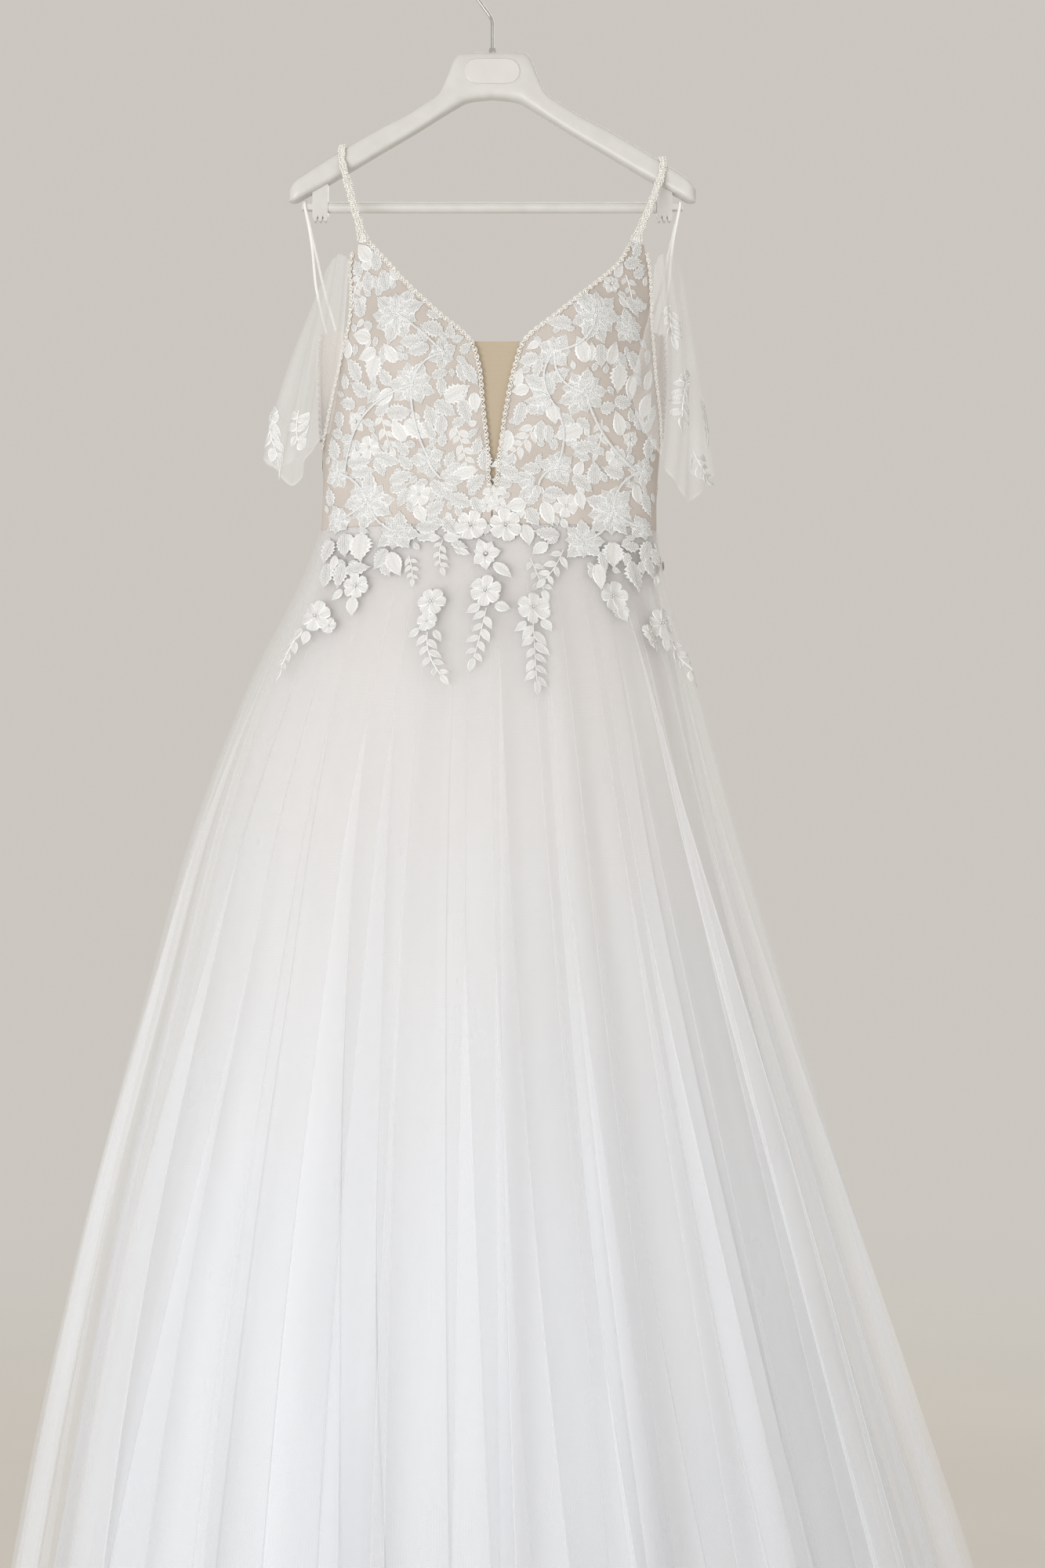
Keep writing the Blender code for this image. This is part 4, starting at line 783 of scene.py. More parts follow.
NECK_SPAN, ARMHOLE_SPAN, WING_SPAN = (-0.5860, -0.3215), (-0.5360, -0.3300), (91.0, 102.0)
NECK_ROOM = 0.0023           # from each chain to the edge, where the two edges meet
HALF_PITCH = 0.00375         # of the looped chain: from one crossing to the next
CHAIN_HALF, CHAIN_LIFT = 0.0021, 0.0016
CHAIN_BEADS = (0.00095, 0.00165, 0.00110)     # on the loops, inside them and at the crossings
STRAP_AT = {"left": -0.1640, "right": 0.1860}
STRAP_WIDTH, STRAP_HALF_THICK = 0.0075, 0.0006
STRAP_STEP, STRAP_STUB = 0.00115, 0.006       # between its rings of points; straight at its ends
STRAP_LIFT, STRAP_SLOPE = 0.0020, 0.5         # clear of the arm, and the arm's slope there
STRAP_BACK = 143.0                            # the angle where it is sewn to the back
STRAP_FLARE, BAND_SHARE = 0.022, 0.62         # where it widens to the panel, and the band's share
STRAP_ROWS = ((-1.0, 0.00120), (-0.5, 0.00095), (0.0, 0.00135), (0.5, 0.00095), (1.0, 0.00120))
PEG_X, PEG_TOP, PEG_DEPTH, PEG_HALF = 0.2055, -0.2665, 0.0050, 0.0015
RIBBON_ANGLES = (106.0, 114.0)
RIBBON_HALF, RIBBON_HALF_THICK = 0.0015, 0.00042
RIBBON_STEP, RIBBON_STUB, RIBBON_ROOM = 0.0022, 0.005, 0.0011


def add_beads(name, centres, radii, finish="cream", node=None, shape=ICOSAHEDRON):
    """Many round beads joined in one mesh; centres and radii are lists of arrays."""
    corners, faces = shape
    centres, radii = np.concatenate(centres), np.concatenate(radii)
    points = centres[:, None] + corners[None] * radii[:, None, None]
    index = faces[None] + (np.arange(len(centres)) * len(corners))[:, None, None]
    add_mesh(name, points, index.reshape(-1, 3), finish, "pearl_beads", node)


def read_at(spots, known, values):
    """The rows of values, which are known at known, read at spots."""
    return np.stack([np.interp(spots, known, values[:, k]) for k in range(3)], -1)


def resample(path, step):
    """Points along a path at an even step, their distances and the path's own."""
    length = summed(np.linalg.norm(np.diff(path, axis=0), axis=1))
    s = np.linspace(0, length[-1], max(int(length[-1] / step), 4))
    return read_at(s, length, path), s, length


def smooth_path(knots, per_span=6):
    """Points along a smooth curve through the knots."""
    knots = np.asarray(knots, float)
    lead = np.concatenate([[2 * knots[0] - knots[1]], knots, [2 * knots[-1] - knots[-2]]])
    points = []
    for i in range(1, len(lead) - 2):
        p, a, b, q = lead[i - 1:i + 3]
        for t in np.arange(per_span) / per_span:
            points.append(0.5 * (2 * a + (b - p) * t + (2 * p - 5 * a + 4 * b - q) * t * t
                                 + (3 * a - 3 * b + q - p) * t**3))
    return np.array(points + [knots[-1]])


def square_to(along, across):
    """across made square to a path's direction, and the way square to both."""
    across = unit(across - along * (across * along).sum(-1, keepdims=True))
    return across, np.cross(along, across)


def hung_path(start, over, end, stub, rising, falling):
    """A path from start up to the arc over and down to end, which leaves both ends upward by stub.
    Each bend in rising and falling is a share of the way and a shift."""
    up, down, lift = over[0] - start, end - over[-1], np.array((0, 0, stub))
    front = [start, start + lift] + [start + up * t + shift for t, shift in rising] + [over[0]]
    back = [over[-1]] + [over[-1] + down * t + shift for t, shift in falling] + [end + lift, end]
    return np.concatenate([smooth_path(front)[:-1], over, smooth_path(back)[1:]])


def looped_chain(name, node, angle, height):
    """Two strings of small beads that cross and part, with a larger bead in every loop."""
    path, out = bodice_and_out(angle, height)
    fine, s, length = resample(path, 0.0005)
    out = unit(read_at(s, length, out))
    side = np.cross(unit(np.gradient(fine, axis=0)), out)
    centres, radii = [], []
    for way in (-1, 1):
        swing = way * CHAIN_HALF * np.sin(PI * s / HALF_PITCH / 2)
        over = 0.0007 * way * np.cos(PI * s / HALF_PITCH / 2)
        string = fine + side * swing[:, None] + out * (CHAIN_LIFT + over)[:, None]
        centres.append(resample(string, CHAIN_BEADS[0] * 1.9)[0])
        radii.append(np.full(len(centres[-1]), CHAIN_BEADS[0]))
    for first, radius in ((HALF_PITCH, CHAIN_BEADS[1]), (0.0, CHAIN_BEADS[2])):
        spots = np.arange(first, s[-1], 2 * HALF_PITCH)
        centres.append(read_at(spots, s, fine + out * CHAIN_LIFT))
        radii.append(np.full(len(spots), radius))
    add_beads(name, centres, radii, node=node)


def make_edges():
    for side, way in WAYS.items():
        height = np.linspace(*NECK_SPAN, 60)
        room = fade((PANEL_LOW - height) / 0.03) * NECK_ROOM
        angle = angle_at(FRONT_EDGES.at("neck_" + side, height) + way * room, height)
        looped_chain("neck_chain_" + side, "neck_trim_" + side, angle, height)
        height = np.linspace(*ARMHOLE_SPAN, 50)
        angle = np.minimum(np.abs(angle_at(FRONT_EDGES.at("armhole_" + side, height), height)), 89.7)
        looped_chain("armhole_chain_" + side, "armhole_trim_front_" + side, way * angle, height)
        angle = np.linspace(*WING_SPAN, 30)
        looped_chain("wing_chain_" + side, "armhole_trim_back_" + side, way * angle,
                     BACK_TOP.at("height", angle))


def strap_path(side):
    """Over the hanger's arm, from the front panel's point to the back panel's top."""
    ends = [float(FRONT_EDGES.at(edge + side, PANEL_TOP)) for edge in ("neck_", "armhole_")]
    front, out = bodice_and_out(angle_at(sum(ends) / 2, PANEL_TOP), PANEL_TOP)
    front = front - out * 0.001
    back = bodice(WAYS[side] * STRAP_BACK, float(BACK_TOP.at("height", STRAP_BACK)))
    x = STRAP_AT[side]
    above, below, depth = (float(HANGER.at(name, abs(x))) for name in ("top", "bottom", "half_depth"))
    turn = np.linspace(PI, 0, 15)
    rise = (above - below) / 2 + STRAP_LIFT + STRAP_SLOPE * STRAP_WIDTH / 2
    over = stack(x, (depth + STRAP_LIFT) * squarer(np.cos(turn)),
                 (above + below) / 2 + rise * squarer(np.sin(turn)))
    path = hung_path(front, over, back, STRAP_STUB, ((0.30, (0, 0, 0.0024)), (0.75, (0, -0.001, 0))),
                     ((0.30, (0, 0.002, 0)), (0.75, (0, 0, 0))))
    return path, abs(ends[1] - ends[0]) - 0.001


def make_straps():
    """A narrow band with strings of uneven beads on it, which spread where it meets the lace."""
    random = np.random.default_rng(5)
    for side in WAYS:
        path, base = strap_path(side)
        fine, s, _ = resample(path, STRAP_STEP)
        across, out = square_to(unit(np.gradient(fine, axis=0)), np.array((1.0, 0.0, 0.0)))
        width = STRAP_WIDTH + (base - STRAP_WIDTH) * fade(1 - s / STRAP_FLARE)
        t = np.linspace(-1, 1, 5)[None, :, None]
        middle = fine[:, None] + across[:, None] * (width / 2 * BAND_SHARE)[:, None, None] * t
        thick = out[:, None] * STRAP_HALF_THICK
        band = np.concatenate([middle + thick, (middle - thick)[:, ::-1]], axis=1)
        add_mesh("strap_band_" + side, band, grid_faces(len(fine), 10, closed=True), "satin",
                 "pearl_beads", "strap_" + side)
        centres, radii = [], []
        for row, radius in STRAP_ROWS:
            spots = np.arange(0.001 + abs(row) * radius, s[-1] - 0.001, radius * 1.95)
            at, side_way, out_way = (read_at(spots, s, values) for values in (fine, across, out))
            half = np.interp(spots, s, width) / 2 - 0.0009
            wander = random.uniform(-0.00055, 0.00055, len(spots)) + 0.0005 * np.sin(spots * 310 + row)
            for face in (-1, 1):
                centres.append(at + side_way * (row * half + wander)[:, None]
                               + out_way * face * random.uniform(0.0006, 0.0014, (len(spots), 1)))
                radii.append(radius * random.uniform(0.78, 1.12, len(spots)))
        add_beads("strap_beads_" + side, centres, radii, node="strap_" + side)


def make_ribbons():
    """A satin loop over each peg, with its two strands sewn to the armhole."""
    for side, way in WAYS.items():
        centre = PEG_TOP - PEG_HALF
        radius = math.hypot(PEG_DEPTH, PEG_HALF) + RIBBON_ROOM
        turns = np.linspace(PI, 0, 13)
        over = stack(way * PEG_X, radius * np.cos(turns), centre + radius * np.sin(turns))
        start, end = (bodice(way * angle, float(BACK_TOP.at("height", angle))) + (0, -0.001, 0.001)
                      for angle in RIBBON_ANGLES)
        rising = ((0.35, (way * 0.002, -0.003, 0)), (0.70, (-way * 0.001, -0.002, 0)))
        falling = ((0.30, (0, 0.002, 0)), (0.65, (way * 0.001, 0.004, 0)))
        path, s, _ = resample(hung_path(start, over, end, RIBBON_STUB, rising, falling), RIBBON_STEP)
        twist = 0.35 * np.sin(s * 38) + 0.25 * np.sin(s * 71 + 1)
        twist *= fade(np.abs(path[:, 2] - centre) / 0.03)
        across, out = square_to(unit(np.gradient(path, axis=0)),
                                stack(np.cos(twist), np.sin(twist), 0 * twist))
        turn = np.linspace(0, 2 * PI, 12, endpoint=False)[None, :, None]
        wide = squarer(np.cos(turn), 0.7) * RIBBON_HALF
        points = (path[:, None] + across[:, None] * wide
                  + out[:, None] * (np.sin(turn) * RIBBON_HALF_THICK))
        add_mesh("satin_ribbon_" + side, points, grid_faces(len(path), 12, closed=True), "satin",
                 "satin", "hang_ribbon_" + side)


def tube(name, path, radius, finish, slot, node=None, sides=16):
    """A round rod along a path of points; radius may change from point to point."""
    radius = np.broadcast_to(np.asarray(radius, float), (len(path),))
    along = unit(np.gradient(path, axis=0))
    side, up = square_to(along, np.array((0.0, 1.0, 0.0)))
    turn = np.linspace(0, 2 * PI, sides, endpoint=False)[None, :, None]
    points = (path[:, None] + radius[:, None, None]
              * (side[:, None] * np.cos(turn) + up[:, None] * np.sin(turn)))
    faces = grid_faces(len(path), sides, closed=True).tolist()
    last = (len(path) - 1) * sides
    faces += [list(range(sides - 1, -1, -1)), list(range(last, last + sides))]
    piece = add_mesh(name, points, faces, finish, slot, node)
    piece.data.set_sharp_from_angle(angle=math.radians(50))


BUTTONS, BUTTON_MARGIN = 9, 0.008             # how many, and the room above and below them
BUTTON_RADIUS, BUTTON_DEPTH, LOOP_WIRE = 0.0045, 0.0042, 0.0006
# A button's depth and radius at each of its rings, as shares of the whole
DOME = ((0.0, 0.70), (0.16, 0.94), (0.42, 1.0), (0.70, 0.86), (0.90, 0.52), (1.0, 0.0))


def make_buttons():
    """Round covered buttons, each in a small loop of cord."""
    top = float(BACK_TOP.at("height", 180.0)) - BUTTON_MARGIN
    turn = np.linspace(0, 2 * PI, 24, endpoint=False)
    c, s = np.cos(turn), np.sin(turn)
    for number in range(BUTTONS):
        height = top + (WAIST + BUTTON_MARGIN - top) * number / (BUTTONS - 1)
        base = bodice(180.0, height) + (0, 0.0003, 0)
        points = [base + stack(BUTTON_RADIUS * r * c, BUTTON_DEPTH * d, BUTTON_RADIUS * r * s)
                  for d, r in DOME]
        add_mesh(f"covered_button_{number + 1}", np.concatenate(points),
                 grid_faces(len(DOME), 24, closed=True), "satin", "satin", f"button_{number + 1}")
        loop = base + stack(0.0056 * c - 0.001, 0.0012, 0.0052 * s)
        loop = np.concatenate([loop[3:22], [base + (0.0085, 0.0009, -0.001)]])
        tube(f"button_loop_{number + 1}", smooth_path(loop, 2), LOOP_WIRE, "satin", "satin",
             sides=6)


# ---------------- lace, laid on a surface

LACE_RISE = 0.0009           # how far the cord round a leaf stands off the net
CORD_HALF, STEM_HALF = 0.0007, 0.0005
SEED_BEAD = 0.00080
BEAD_STEP = 0.00175          # from bead to bead along a row
BEAD_ROWS_APART = 0.0021

# A leaf cut across: where each point lies, how high it stands and how much it is part of the cord
LEAF_ACROSS = np.array((-1.00, -0.86, -0.66, -0.32, 0.0, 0.32, 0.66, 0.86, 1.00))
LEAF_RISE = np.array((0.10, 1.00, 0.42, 0.66, 0.22, 0.66, 0.42, 1.00, 0.10))
LEAF_CORD = np.array((0.6, 1.0, 0.1, 0.2, 0.0, 0.2, 0.1, 1.0, 0.6))


def travelled(u, v):
    """How far along a flat line each of its points lies."""
    return summed(np.hypot(np.diff(u), np.diff(v)))


def polar(reach, turn, start=(0, 0)):
    """The place a reach away from start, in the direction turn in degrees."""
    way = math.radians(turn)
    return start[0] + reach * math.cos(way), start[1] + reach * math.sin(way)


class Lace:
    """Embroidery and seed beads, drawn flat round a place, and laid on a surface(a, b) with b upward."""

    def __init__(self, surface, seed, steps=(0.3, 0.001), facing=1.0, limit=None, angle_of=None):
        self.surface, self.steps, self.facing, self.limit = surface, steps, facing, limit
        self.angle_of = angle_of
        self.random = np.random.default_rng(seed)
        self.patches, self.beads, self.count, self.place = [], [], 0, None

    def leaf(self, start, length, width, turn, curve=0.0, shape="leaf", beaded=False, saw=0.0,
             rise=0.0, rows=11):
        """One corded leaf that starts at start and points along turn, in degrees."""
        t = np.linspace(0.0, 1.0, rows)
        if shape == "petal":
            half = 1.06 * t**0.5 * np.sqrt(1 - 0.97 * t**6)
        elif shape == "almond":
            half = np.sin(PI * t) ** 0.9
        else:
            half = np.maximum(np.sin(PI * t**0.76), 0.0) ** (0.75 + 0.65 * t)
        half = half * width / 2
        if saw:
            half = half * (1 + saw * (np.arange(rows) % 2 - 0.5))
        bend = np.radians(turn + curve * (t - 0.25))
        step = length / (rows - 1)
        mid_u = start[0] + step * summed(np.cos(bend[:-1]))
        mid_v = start[1] + step * summed(np.sin(bend[:-1]))
        u = mid_u[:, None] - np.sin(bend)[:, None] * half[:, None] * LEAF_ACROSS
        v = mid_v[:, None] + np.cos(bend)[:, None] * half[:, None] * LEAF_ACROSS
        lift = rise + LACE_RISE * LEAF_RISE * (0.35 + 0.65 * fade(half / 0.0022)[:, None])
        stitch = t[:, None] * length + 0.9 * np.abs(LEAF_ACROSS) * half[:, None]
        self.add(u, v, lift, LEAF_CORD - (0.18 if beaded else 0.0), stitch)
        if not beaded:
            return
        path = travelled(mid_u, mid_v)
        for row in range(-5, 6):
            offset = row * BEAD_ROWS_APART
            s = np.arange(BEAD_STEP * (0.6 + 0.5 * (row % 2)), path[-1], BEAD_STEP)
            s = s[np.abs(offset) < np.interp(s, path, half) - 0.0006]
            if not len(s):
                continue
            offset = offset + self.random.uniform(-0.0002, 0.0002, len(s))
            self.row_of_beads(s, (path, mid_u, mid_v, bend), offset,
                              rise + LACE_RISE * 0.75, SEED_BEAD)

    def add(self, u, v, *rest):
        values = [np.broadcast_to(value, u.shape).ravel() for value in (u, v, *rest)]
        self.patches.append((self.place, *values, grid_faces(*u.shape, start=self.count)))
        self.count += u.size

    def add_beads(self, u, v, lift, radius):
        size = radius * self.random.uniform(0.88, 1.12, len(u))
        self.beads.append((self.place, u, v, np.full(len(u), lift) + radius * 0.3, size))

    def row_of_beads(self, s, line, offset, lift, radius):
        """Beads beside a line, at the distances s along it; line holds those of its own points."""
        u, v, angle = (np.interp(s, line[0], values) for values in line[1:])
        self.add_beads(u - np.sin(angle) * offset, v + np.cos(angle) * offset, lift, radius)

    def ring_of_beads(self, count, reach, turn, lift, radius):
        a = turn + 2 * PI * np.arange(count) / count
        self.add_beads(reach * np.cos(a), reach * np.sin(a), lift, radius)

    def cord(self, knots, beaded=False, rise=0.0, half=CORD_HALF):
        """A stem along a bent line through three points."""
        (u0, v0), (u1, v1), (u2, v2) = knots
        length = math.hypot(u1 - u0, v1 - v0) + math.hypot(u2 - u1, v2 - v1)
        t = np.linspace(0, 1, max(int(length / 0.0035), 5))
        u, v = through(u0, u1, u2, t), through(v0, v1, v2, t)
        angle = np.arctan2(np.gradient(v), np.gradient(u))
        across = np.array((-1.0, -0.7, 0.0, 0.7, 1.0)) * half
        self.add(u[:, None] - np.sin(angle)[:, None] * across,
                 v[:, None] + np.cos(angle)[:, None] * across,
                 rise + np.array((0.1, 0.8, 1.1, 0.8, 0.1)) * LACE_RISE, 1.0, (t * length)[:, None])
        if not beaded:
            return
        path = travelled(u, v)
        for side in (-1, 1):
            s = np.arange(BEAD_STEP * (0.5 + 0.25 * side), path[-1], BEAD_STEP)
            self.row_of_beads(s, (path, u, v, np.unwrap(angle)), side * SEED_BEAD * 1.05,
                              rise + LACE_RISE, SEED_BEAD * 1.05)

    def burst(self, radius, petals, turn, beaded=True, spread=360.0):
        """A flower of pointed petals, or part of one, beaded or plain."""
        jitter = self.random.uniform(-0.08, 0.08, petals)
        width = min(0.66, 3.9 / petals * spread / 360.0 + 0.14) * radius
        for k in range(petals):
            way = turn + spread * ((k + 0.5) / petals - 0.5) + jitter[k] * 60
            length = radius * (0.86 + 0.14 * math.cos(k * 2.4) + jitter[k])
            self.leaf(polar(0.12 * radius, way), length * 0.88, width, way,
                      self.random.uniform(-25, 25), beaded=beaded, saw=0.26 if beaded else 0.08,
                      rise=0.0003 * (k % 3))
        inner = petals - 3 if beaded else 0
        for k in range(inner):
            self.leaf((0, 0), radius * 0.60, radius * 0.34,
                      turn + spread * ((k + 1.0) / inner - 0.5), self.random.uniform(-20, 20),
                      beaded=True, saw=0.2, rise=0.0010, rows=9)
        if spread > 300:
            for j, base in enumerate(self.random.uniform(0, 2 * PI, 3 if beaded else 1)):
                self.ring_of_beads(5 + 3 * j, radius * (0.045 + 0.055 * j), base, 0.0018,
                                   SEED_BEAD * 1.1)

    def rose(self, radius, petals, turn, pearls=True, rise=0.0):
        """A flower of round petals with pearls at its heart."""
        for k in range(petals):
            way = turn + 360.0 * k / petals + self.random.uniform(-5, 5)
            length = radius * self.random.uniform(0.90, 1.04)
            self.leaf(polar(0.06 * radius, way), length, radius * 5.6 / petals, way,
                      self.random.uniform(-12, 12), "petal", saw=0.05,
                      rise=rise + 0.00035 * (k % 2))
        if pearls:
            for n, reach, size in ((1, 0.0, 0.0013), (6, 0.0029, 0.0010), (7, 0.0052, 0.0007)):
                self.ring_of_beads(n, reach, self.random.uniform(0, 2 * PI), rise + 0.0015, size)
        else:
            self.ring_of_beads(1, 0.0, 0.0, rise + 0.0014, 0.0011)

    def sprig(self, length, pairs, turn, curve=30.0, leaf=0.011, rise=0.0):
        """A thin stem with leaves on both sides and one at its tip."""
        def at(t):
            return polar(length * t, turn + curve * t / 2)

        self.cord((at(0.0), at(0.5), at(1.0)), rise=rise, half=STEM_HALF)
        for k in range(pairs):
            t = (k + 0.5) / pairs
            for side in (-1, 1):
                way = turn + curve * t + side * self.random.uniform(42, 62)
                size = leaf * self.random.uniform(0.82, 1.12) * (1.08 - 0.25 * t)
                self.leaf(at(t + 0.05 * side), size, size * 0.46, way, -side * 24,
                          rise=rise, rows=8)
        self.leaf(at(1.0), leaf * 1.05, leaf * 0.46, turn + curve, rise=rise, rows=8)

    def lay(self, stored):
        """Points on the surface for flat drawings: a metre across or up is measured at each place."""
        places = np.concatenate([np.broadcast_to(item[0], (len(item[1]), 2)) for item in stored])
        u, v, lift = (np.concatenate([item[k] for item in stored]) for k in (1, 2, 3))
        (a, b), (step_a, step_b) = places.T, self.steps
        along = (self.surface(a + step_a, b) - self.surface(a - step_a, b)) / (2 * step_a)
        up = (self.surface(a, b + step_b) - self.surface(a, b - step_b)) / (2 * step_b)
        size = np.linalg.norm(along, axis=-1)
        skew = (up * along).sum(-1) / size
        b_step = v / np.sqrt(np.maximum((up * up).sum(-1) - skew**2, 1e-9))
        a, b = a + (u * self.facing - b_step * skew) / size, b + b_step
        if self.limit:
            a, b = self.limit(a, b)
        out = normals_of(self.surface, a, b, *self.steps) * self.facing
        return self.surface(a, b) + out * lift[:, None]

    def build(self, lace_name, beads_name, node=None):
        cord, stitch, faces = (np.concatenate([item[k] for item in self.patches]) for k in (4, 5, 6))
        if self.facing < 0:
            faces = faces[:, ::-1]
        add_mesh(lace_name, self.lay(self.patches), faces, "lace", "lace", node,
                 {"rim": cord, "stitch": stitch})
        add_beads(beads_name, [self.lay(self.beads)], [item[4] for item in self.beads], "beads",
                  shape=OCTAHEDRON)


LACE_LIFT = 0.0018           # of the lace on the skirt, over the waves in the tulle
LACE_TOP = -0.3190
NECK_OVER, ARMHOLE_OVER, BACK_OVER = 0.0016, 0.0012, 0.002     # past the panels' edges


def dress(angle, height):
    """The outside of the dress, bodice and skirt in one."""
    angle, height = np.broadcast_arrays(np.asarray(angle, float), np.asarray(height, float))
    low = skirt("outer", angle, np.minimum(height, WAIST), LACE_LIFT * fade((WAIST - height) / 0.03))
    return np.where((height > WAIST)[..., None], bodice(angle, np.maximum(height, WAIST)), low)


def lean_at(x, height, right):
    """The angle at which the dress reaches x, from the middle of the front or back."""
    sections = BODICE if height > WAIST else SKIRT
    side = float(sections.at("right" if right else "left", height))
    return math.degrees(math.asin(min(max(x / (side * 1.002), -0.999), 0.999)))


def front_angle(x, height):
    return lean_at(x, height, x >= 0)


def back_angle(x, height):
    """The angle for the back, where x is measured as it is seen from behind."""
    return lean_at(x, height, x < 0) + (180.0 if x < 0 else -180.0)


def keep_on_panels(angle, height):
    """Lace reaches a little past the edges of the panels, and no further."""
    way = np.where(angle >= 0, 1.0, -1.0)
    level = np.clip(height, PANEL_LOW, PANEL_TOP)
    neck, hole = (of_side(FRONT_EDGES, angle, level, edge) for edge in ("neck_", "armhole_"))
    low, high = (angle_at(x, level) * way
                 for x in (neck - way * NECK_OVER, hole + way * ARMHOLE_OVER))
    held = np.clip(angle * way, np.minimum(low, high), high) * way
    angle = np.where((np.abs(angle) < 90) & (height > PANEL_LOW), held, angle)
    back_top = BACK_TOP.at("height", np.abs(angle)) + BACK_OVER
    top = np.where(np.abs(angle) < 90, LACE_TOP, back_top)
    return angle, np.minimum(height, top)


# ---------------- where the lace goes

# Sizes and places in millimetres, seen from the front.  size is a flower's radius or a leaf's or
# stem's length, width the number of petals or pairs or a leaf's width, turn the way it points
LEFT_FLOWERS = (
    ("burst", -101, -404, 35, 9, 100), ("burst", -52, -446, 20, 6, 60), ("burst", -84, -478, 29, 9, 20),
    ("saw", -122, -446, 30, 22, 245), ("saw", -50, -494, 32, 20, 30), ("sprig", -140, -356, 30, 3, 240),
    ("star", -146, -512, 13, 6, 90), ("almond", -52, -508, 24, 15, 262), ("floret", -132, -540, 12, 5, 40),
    ("sprig", -118, -506, 36, 3, 275), ("saw", -92, -514, 33, 20, 318), ("burst", -68, -556, 22, 7, 75),
    ("sprig", -38, -520, 48, 5, 290), ("floret", -78, -592, 13, 5, 10), ("fan", -54, -576, 30, 4, -18),
    ("burst", -134, -598, 34, 10, 60), ("burst", -168, -566, 20, 7, 100), ("burst", -101, -632, 26, 8, 10),
    ("burst", -167, -616, 20, 7, 10), ("saw", -139, -632, 34, 26, 268), ("sprig", -88, -658, 26, 3, 292),
    ("sprig", -52, -642, 30, 3, 250), ("floret", -6, -604, 8, 5, 20), ("floret", 0, -592, 9, 5, 90))
RIGHT_FLOWERS = (
    ("sprig", 144, -356, 30, 3, 290), ("star", 128, -368, 13, 7, 40), ("burst", 111, -404, 35, 9, 80),
    ("burst", 146, -414, 23, 8, 30), ("burst", 68, -444, 22, 7, 205), ("saw", 138, -454, 31, 24, 268),
    ("burst", 98, -486, 30, 9, 45), ("fan", 62, -492, 30, 5, 185), ("almond", 54, -514, 24, 15, 265),
    ("saw", 98, -522, 34, 20, 200), ("sprig", 118, -512, 34, 3, 280), ("sprig", 46, -520, 50, 5, 245),
    ("floret", 134, -550, 12, 5, 30), ("star", 150, -530, 12, 7, 60), ("burst", 164, -564, 20, 7, 70),
    ("burst", 70, -564, 23, 8, 100), ("fan", 50, -582, 30, 4, 198), ("floret", 80, -604, 13, 5, 50),
    ("burst", 130, -608, 35, 10, 30), ("burst", 98, -642, 26, 8, 20), ("burst", 162, -624, 20, 7, 20),
    ("saw", 131, -642, 30, 24, 262), ("bead", 146, -662, 36, 22, 284), ("sprig", 76, -652, 38, 3, 248),
    ("floret", 8, -604, 8, 5, 60))

# The right half of the back, as it is seen from behind
BACK_FLOWERS = (
    ("burst", 118, -440, 30, 9, 80), ("burst", 158, -500, 24, 8, 40), ("burst", 84, -498, 27, 8, 20),
    ("saw", 128, -486, 30, 20, 250), ("sprig", 58, -520, 34, 3, 280), ("burst", 40, -566, 21, 7, 70),
    ("floret", 100, -552, 12, 5, 10), ("burst", 122, -590, 32, 9, 10), ("fan", 62, -606, 28, 4, 200),
    ("burst", 164, -612, 21, 7, 30), ("saw", 30, -600, 28, 18, 262), ("burst", 92, -638, 25, 8, 15),
    ("sprig", 66, -640, 36, 3, 262), ("rose", 132, -668, 15, 6, 20), ("saw", 150, -650, 28, 20, 280))

# Sprays on the skirt, one for each raised solid there, from the left to the right
SPRAY_LACE = (
    (("rose", -186, -722, 17, 6, 15), ("floret", -172, -733, 9, 5, 0), ("leaf", -198, -736, 19, 10, 232),
     ("sprig", -203, -742, 40, 3, 248), ("leaf", -194, -738, 17, 10, 262)),
    (("rose", -144, -690, 14, 6, 40), ("leaf", -146, -702, 23, 13, 266), ("leaf", -158, -694, 17, 10, 225)),
    (("rose", -63, -709, 15, 6, 0), ("floret", -67, -730, 11, 5, 30), ("leaf", -75, -738, 16, 9, 220),
     ("sprig", -66, -742, 50, 4, 268), ("leaf", -60, -740, 15, 8, 300)),
    (("rose", -22, -626, 17, 6, 10), ("rose", 15, -626, 18, 6, 40), ("star", -6, -657, 19, 7, 270),
     ("leaf", 2, -668, 26, 12, -35), ("rose", -6, -697, 17, 6, 20), ("leaf", 4, -712, 18, 12, -20),
     ("leaf", -12, -712, 18, 10, 215), ("sprig", -5, -716, 56, 4, 262), ("leaf", -10, -690, 14, 9, 190)),
    (("rose", 45, -713, 17, 6, 25), ("leaf", 36, -728, 17, 9, 230), ("leaf", 54, -726, 16, 9, 300),
     ("sprig", 45, -730, 64, 5, 268), ("sprig", 42, -660, 36, 3, 295)),
    (("rose", 131, -699, 16, 6, 5), ("leaf", 138, -711, 18, 10, 285), ("floret", 139, -716, 8, 5, 20)),
    (("rose", 180, -729, 17, 7, 15), ("floret", 164, -740, 9, 5, 0), ("floret", 169, -750, 9, 5, 40),
     ("leaf", 184, -744, 17, 10, 262), ("sprig", 186, -742, 54, 4, 292), ("leaf", 174, -750, 15, 8, 245)))
SPRAYS_UNDER_TULLE, UNDER, OVER = (5, 6), -0.0050, 0.0010
FILL_SIZES = (29, 26, 23, 20, 17, 14, 12)      # of the leaves between the flowers
FILL_TRIES, FILL_OVERLAP = 520, 2.4
FILL_ACROSS, FILL_UP = (3, 190), (-692, -326)  # where they are tried
FILL_SPREAD, FILL_NEAR = 38, 52                # how unevenly they turn; within this they are beaded
SIDE_SEAM = 187.0                              # from the middle of the back
STEM_CLIMB, STEM_LIFT = 0.012, 0.0012          # of the stems that join flowers, in metres
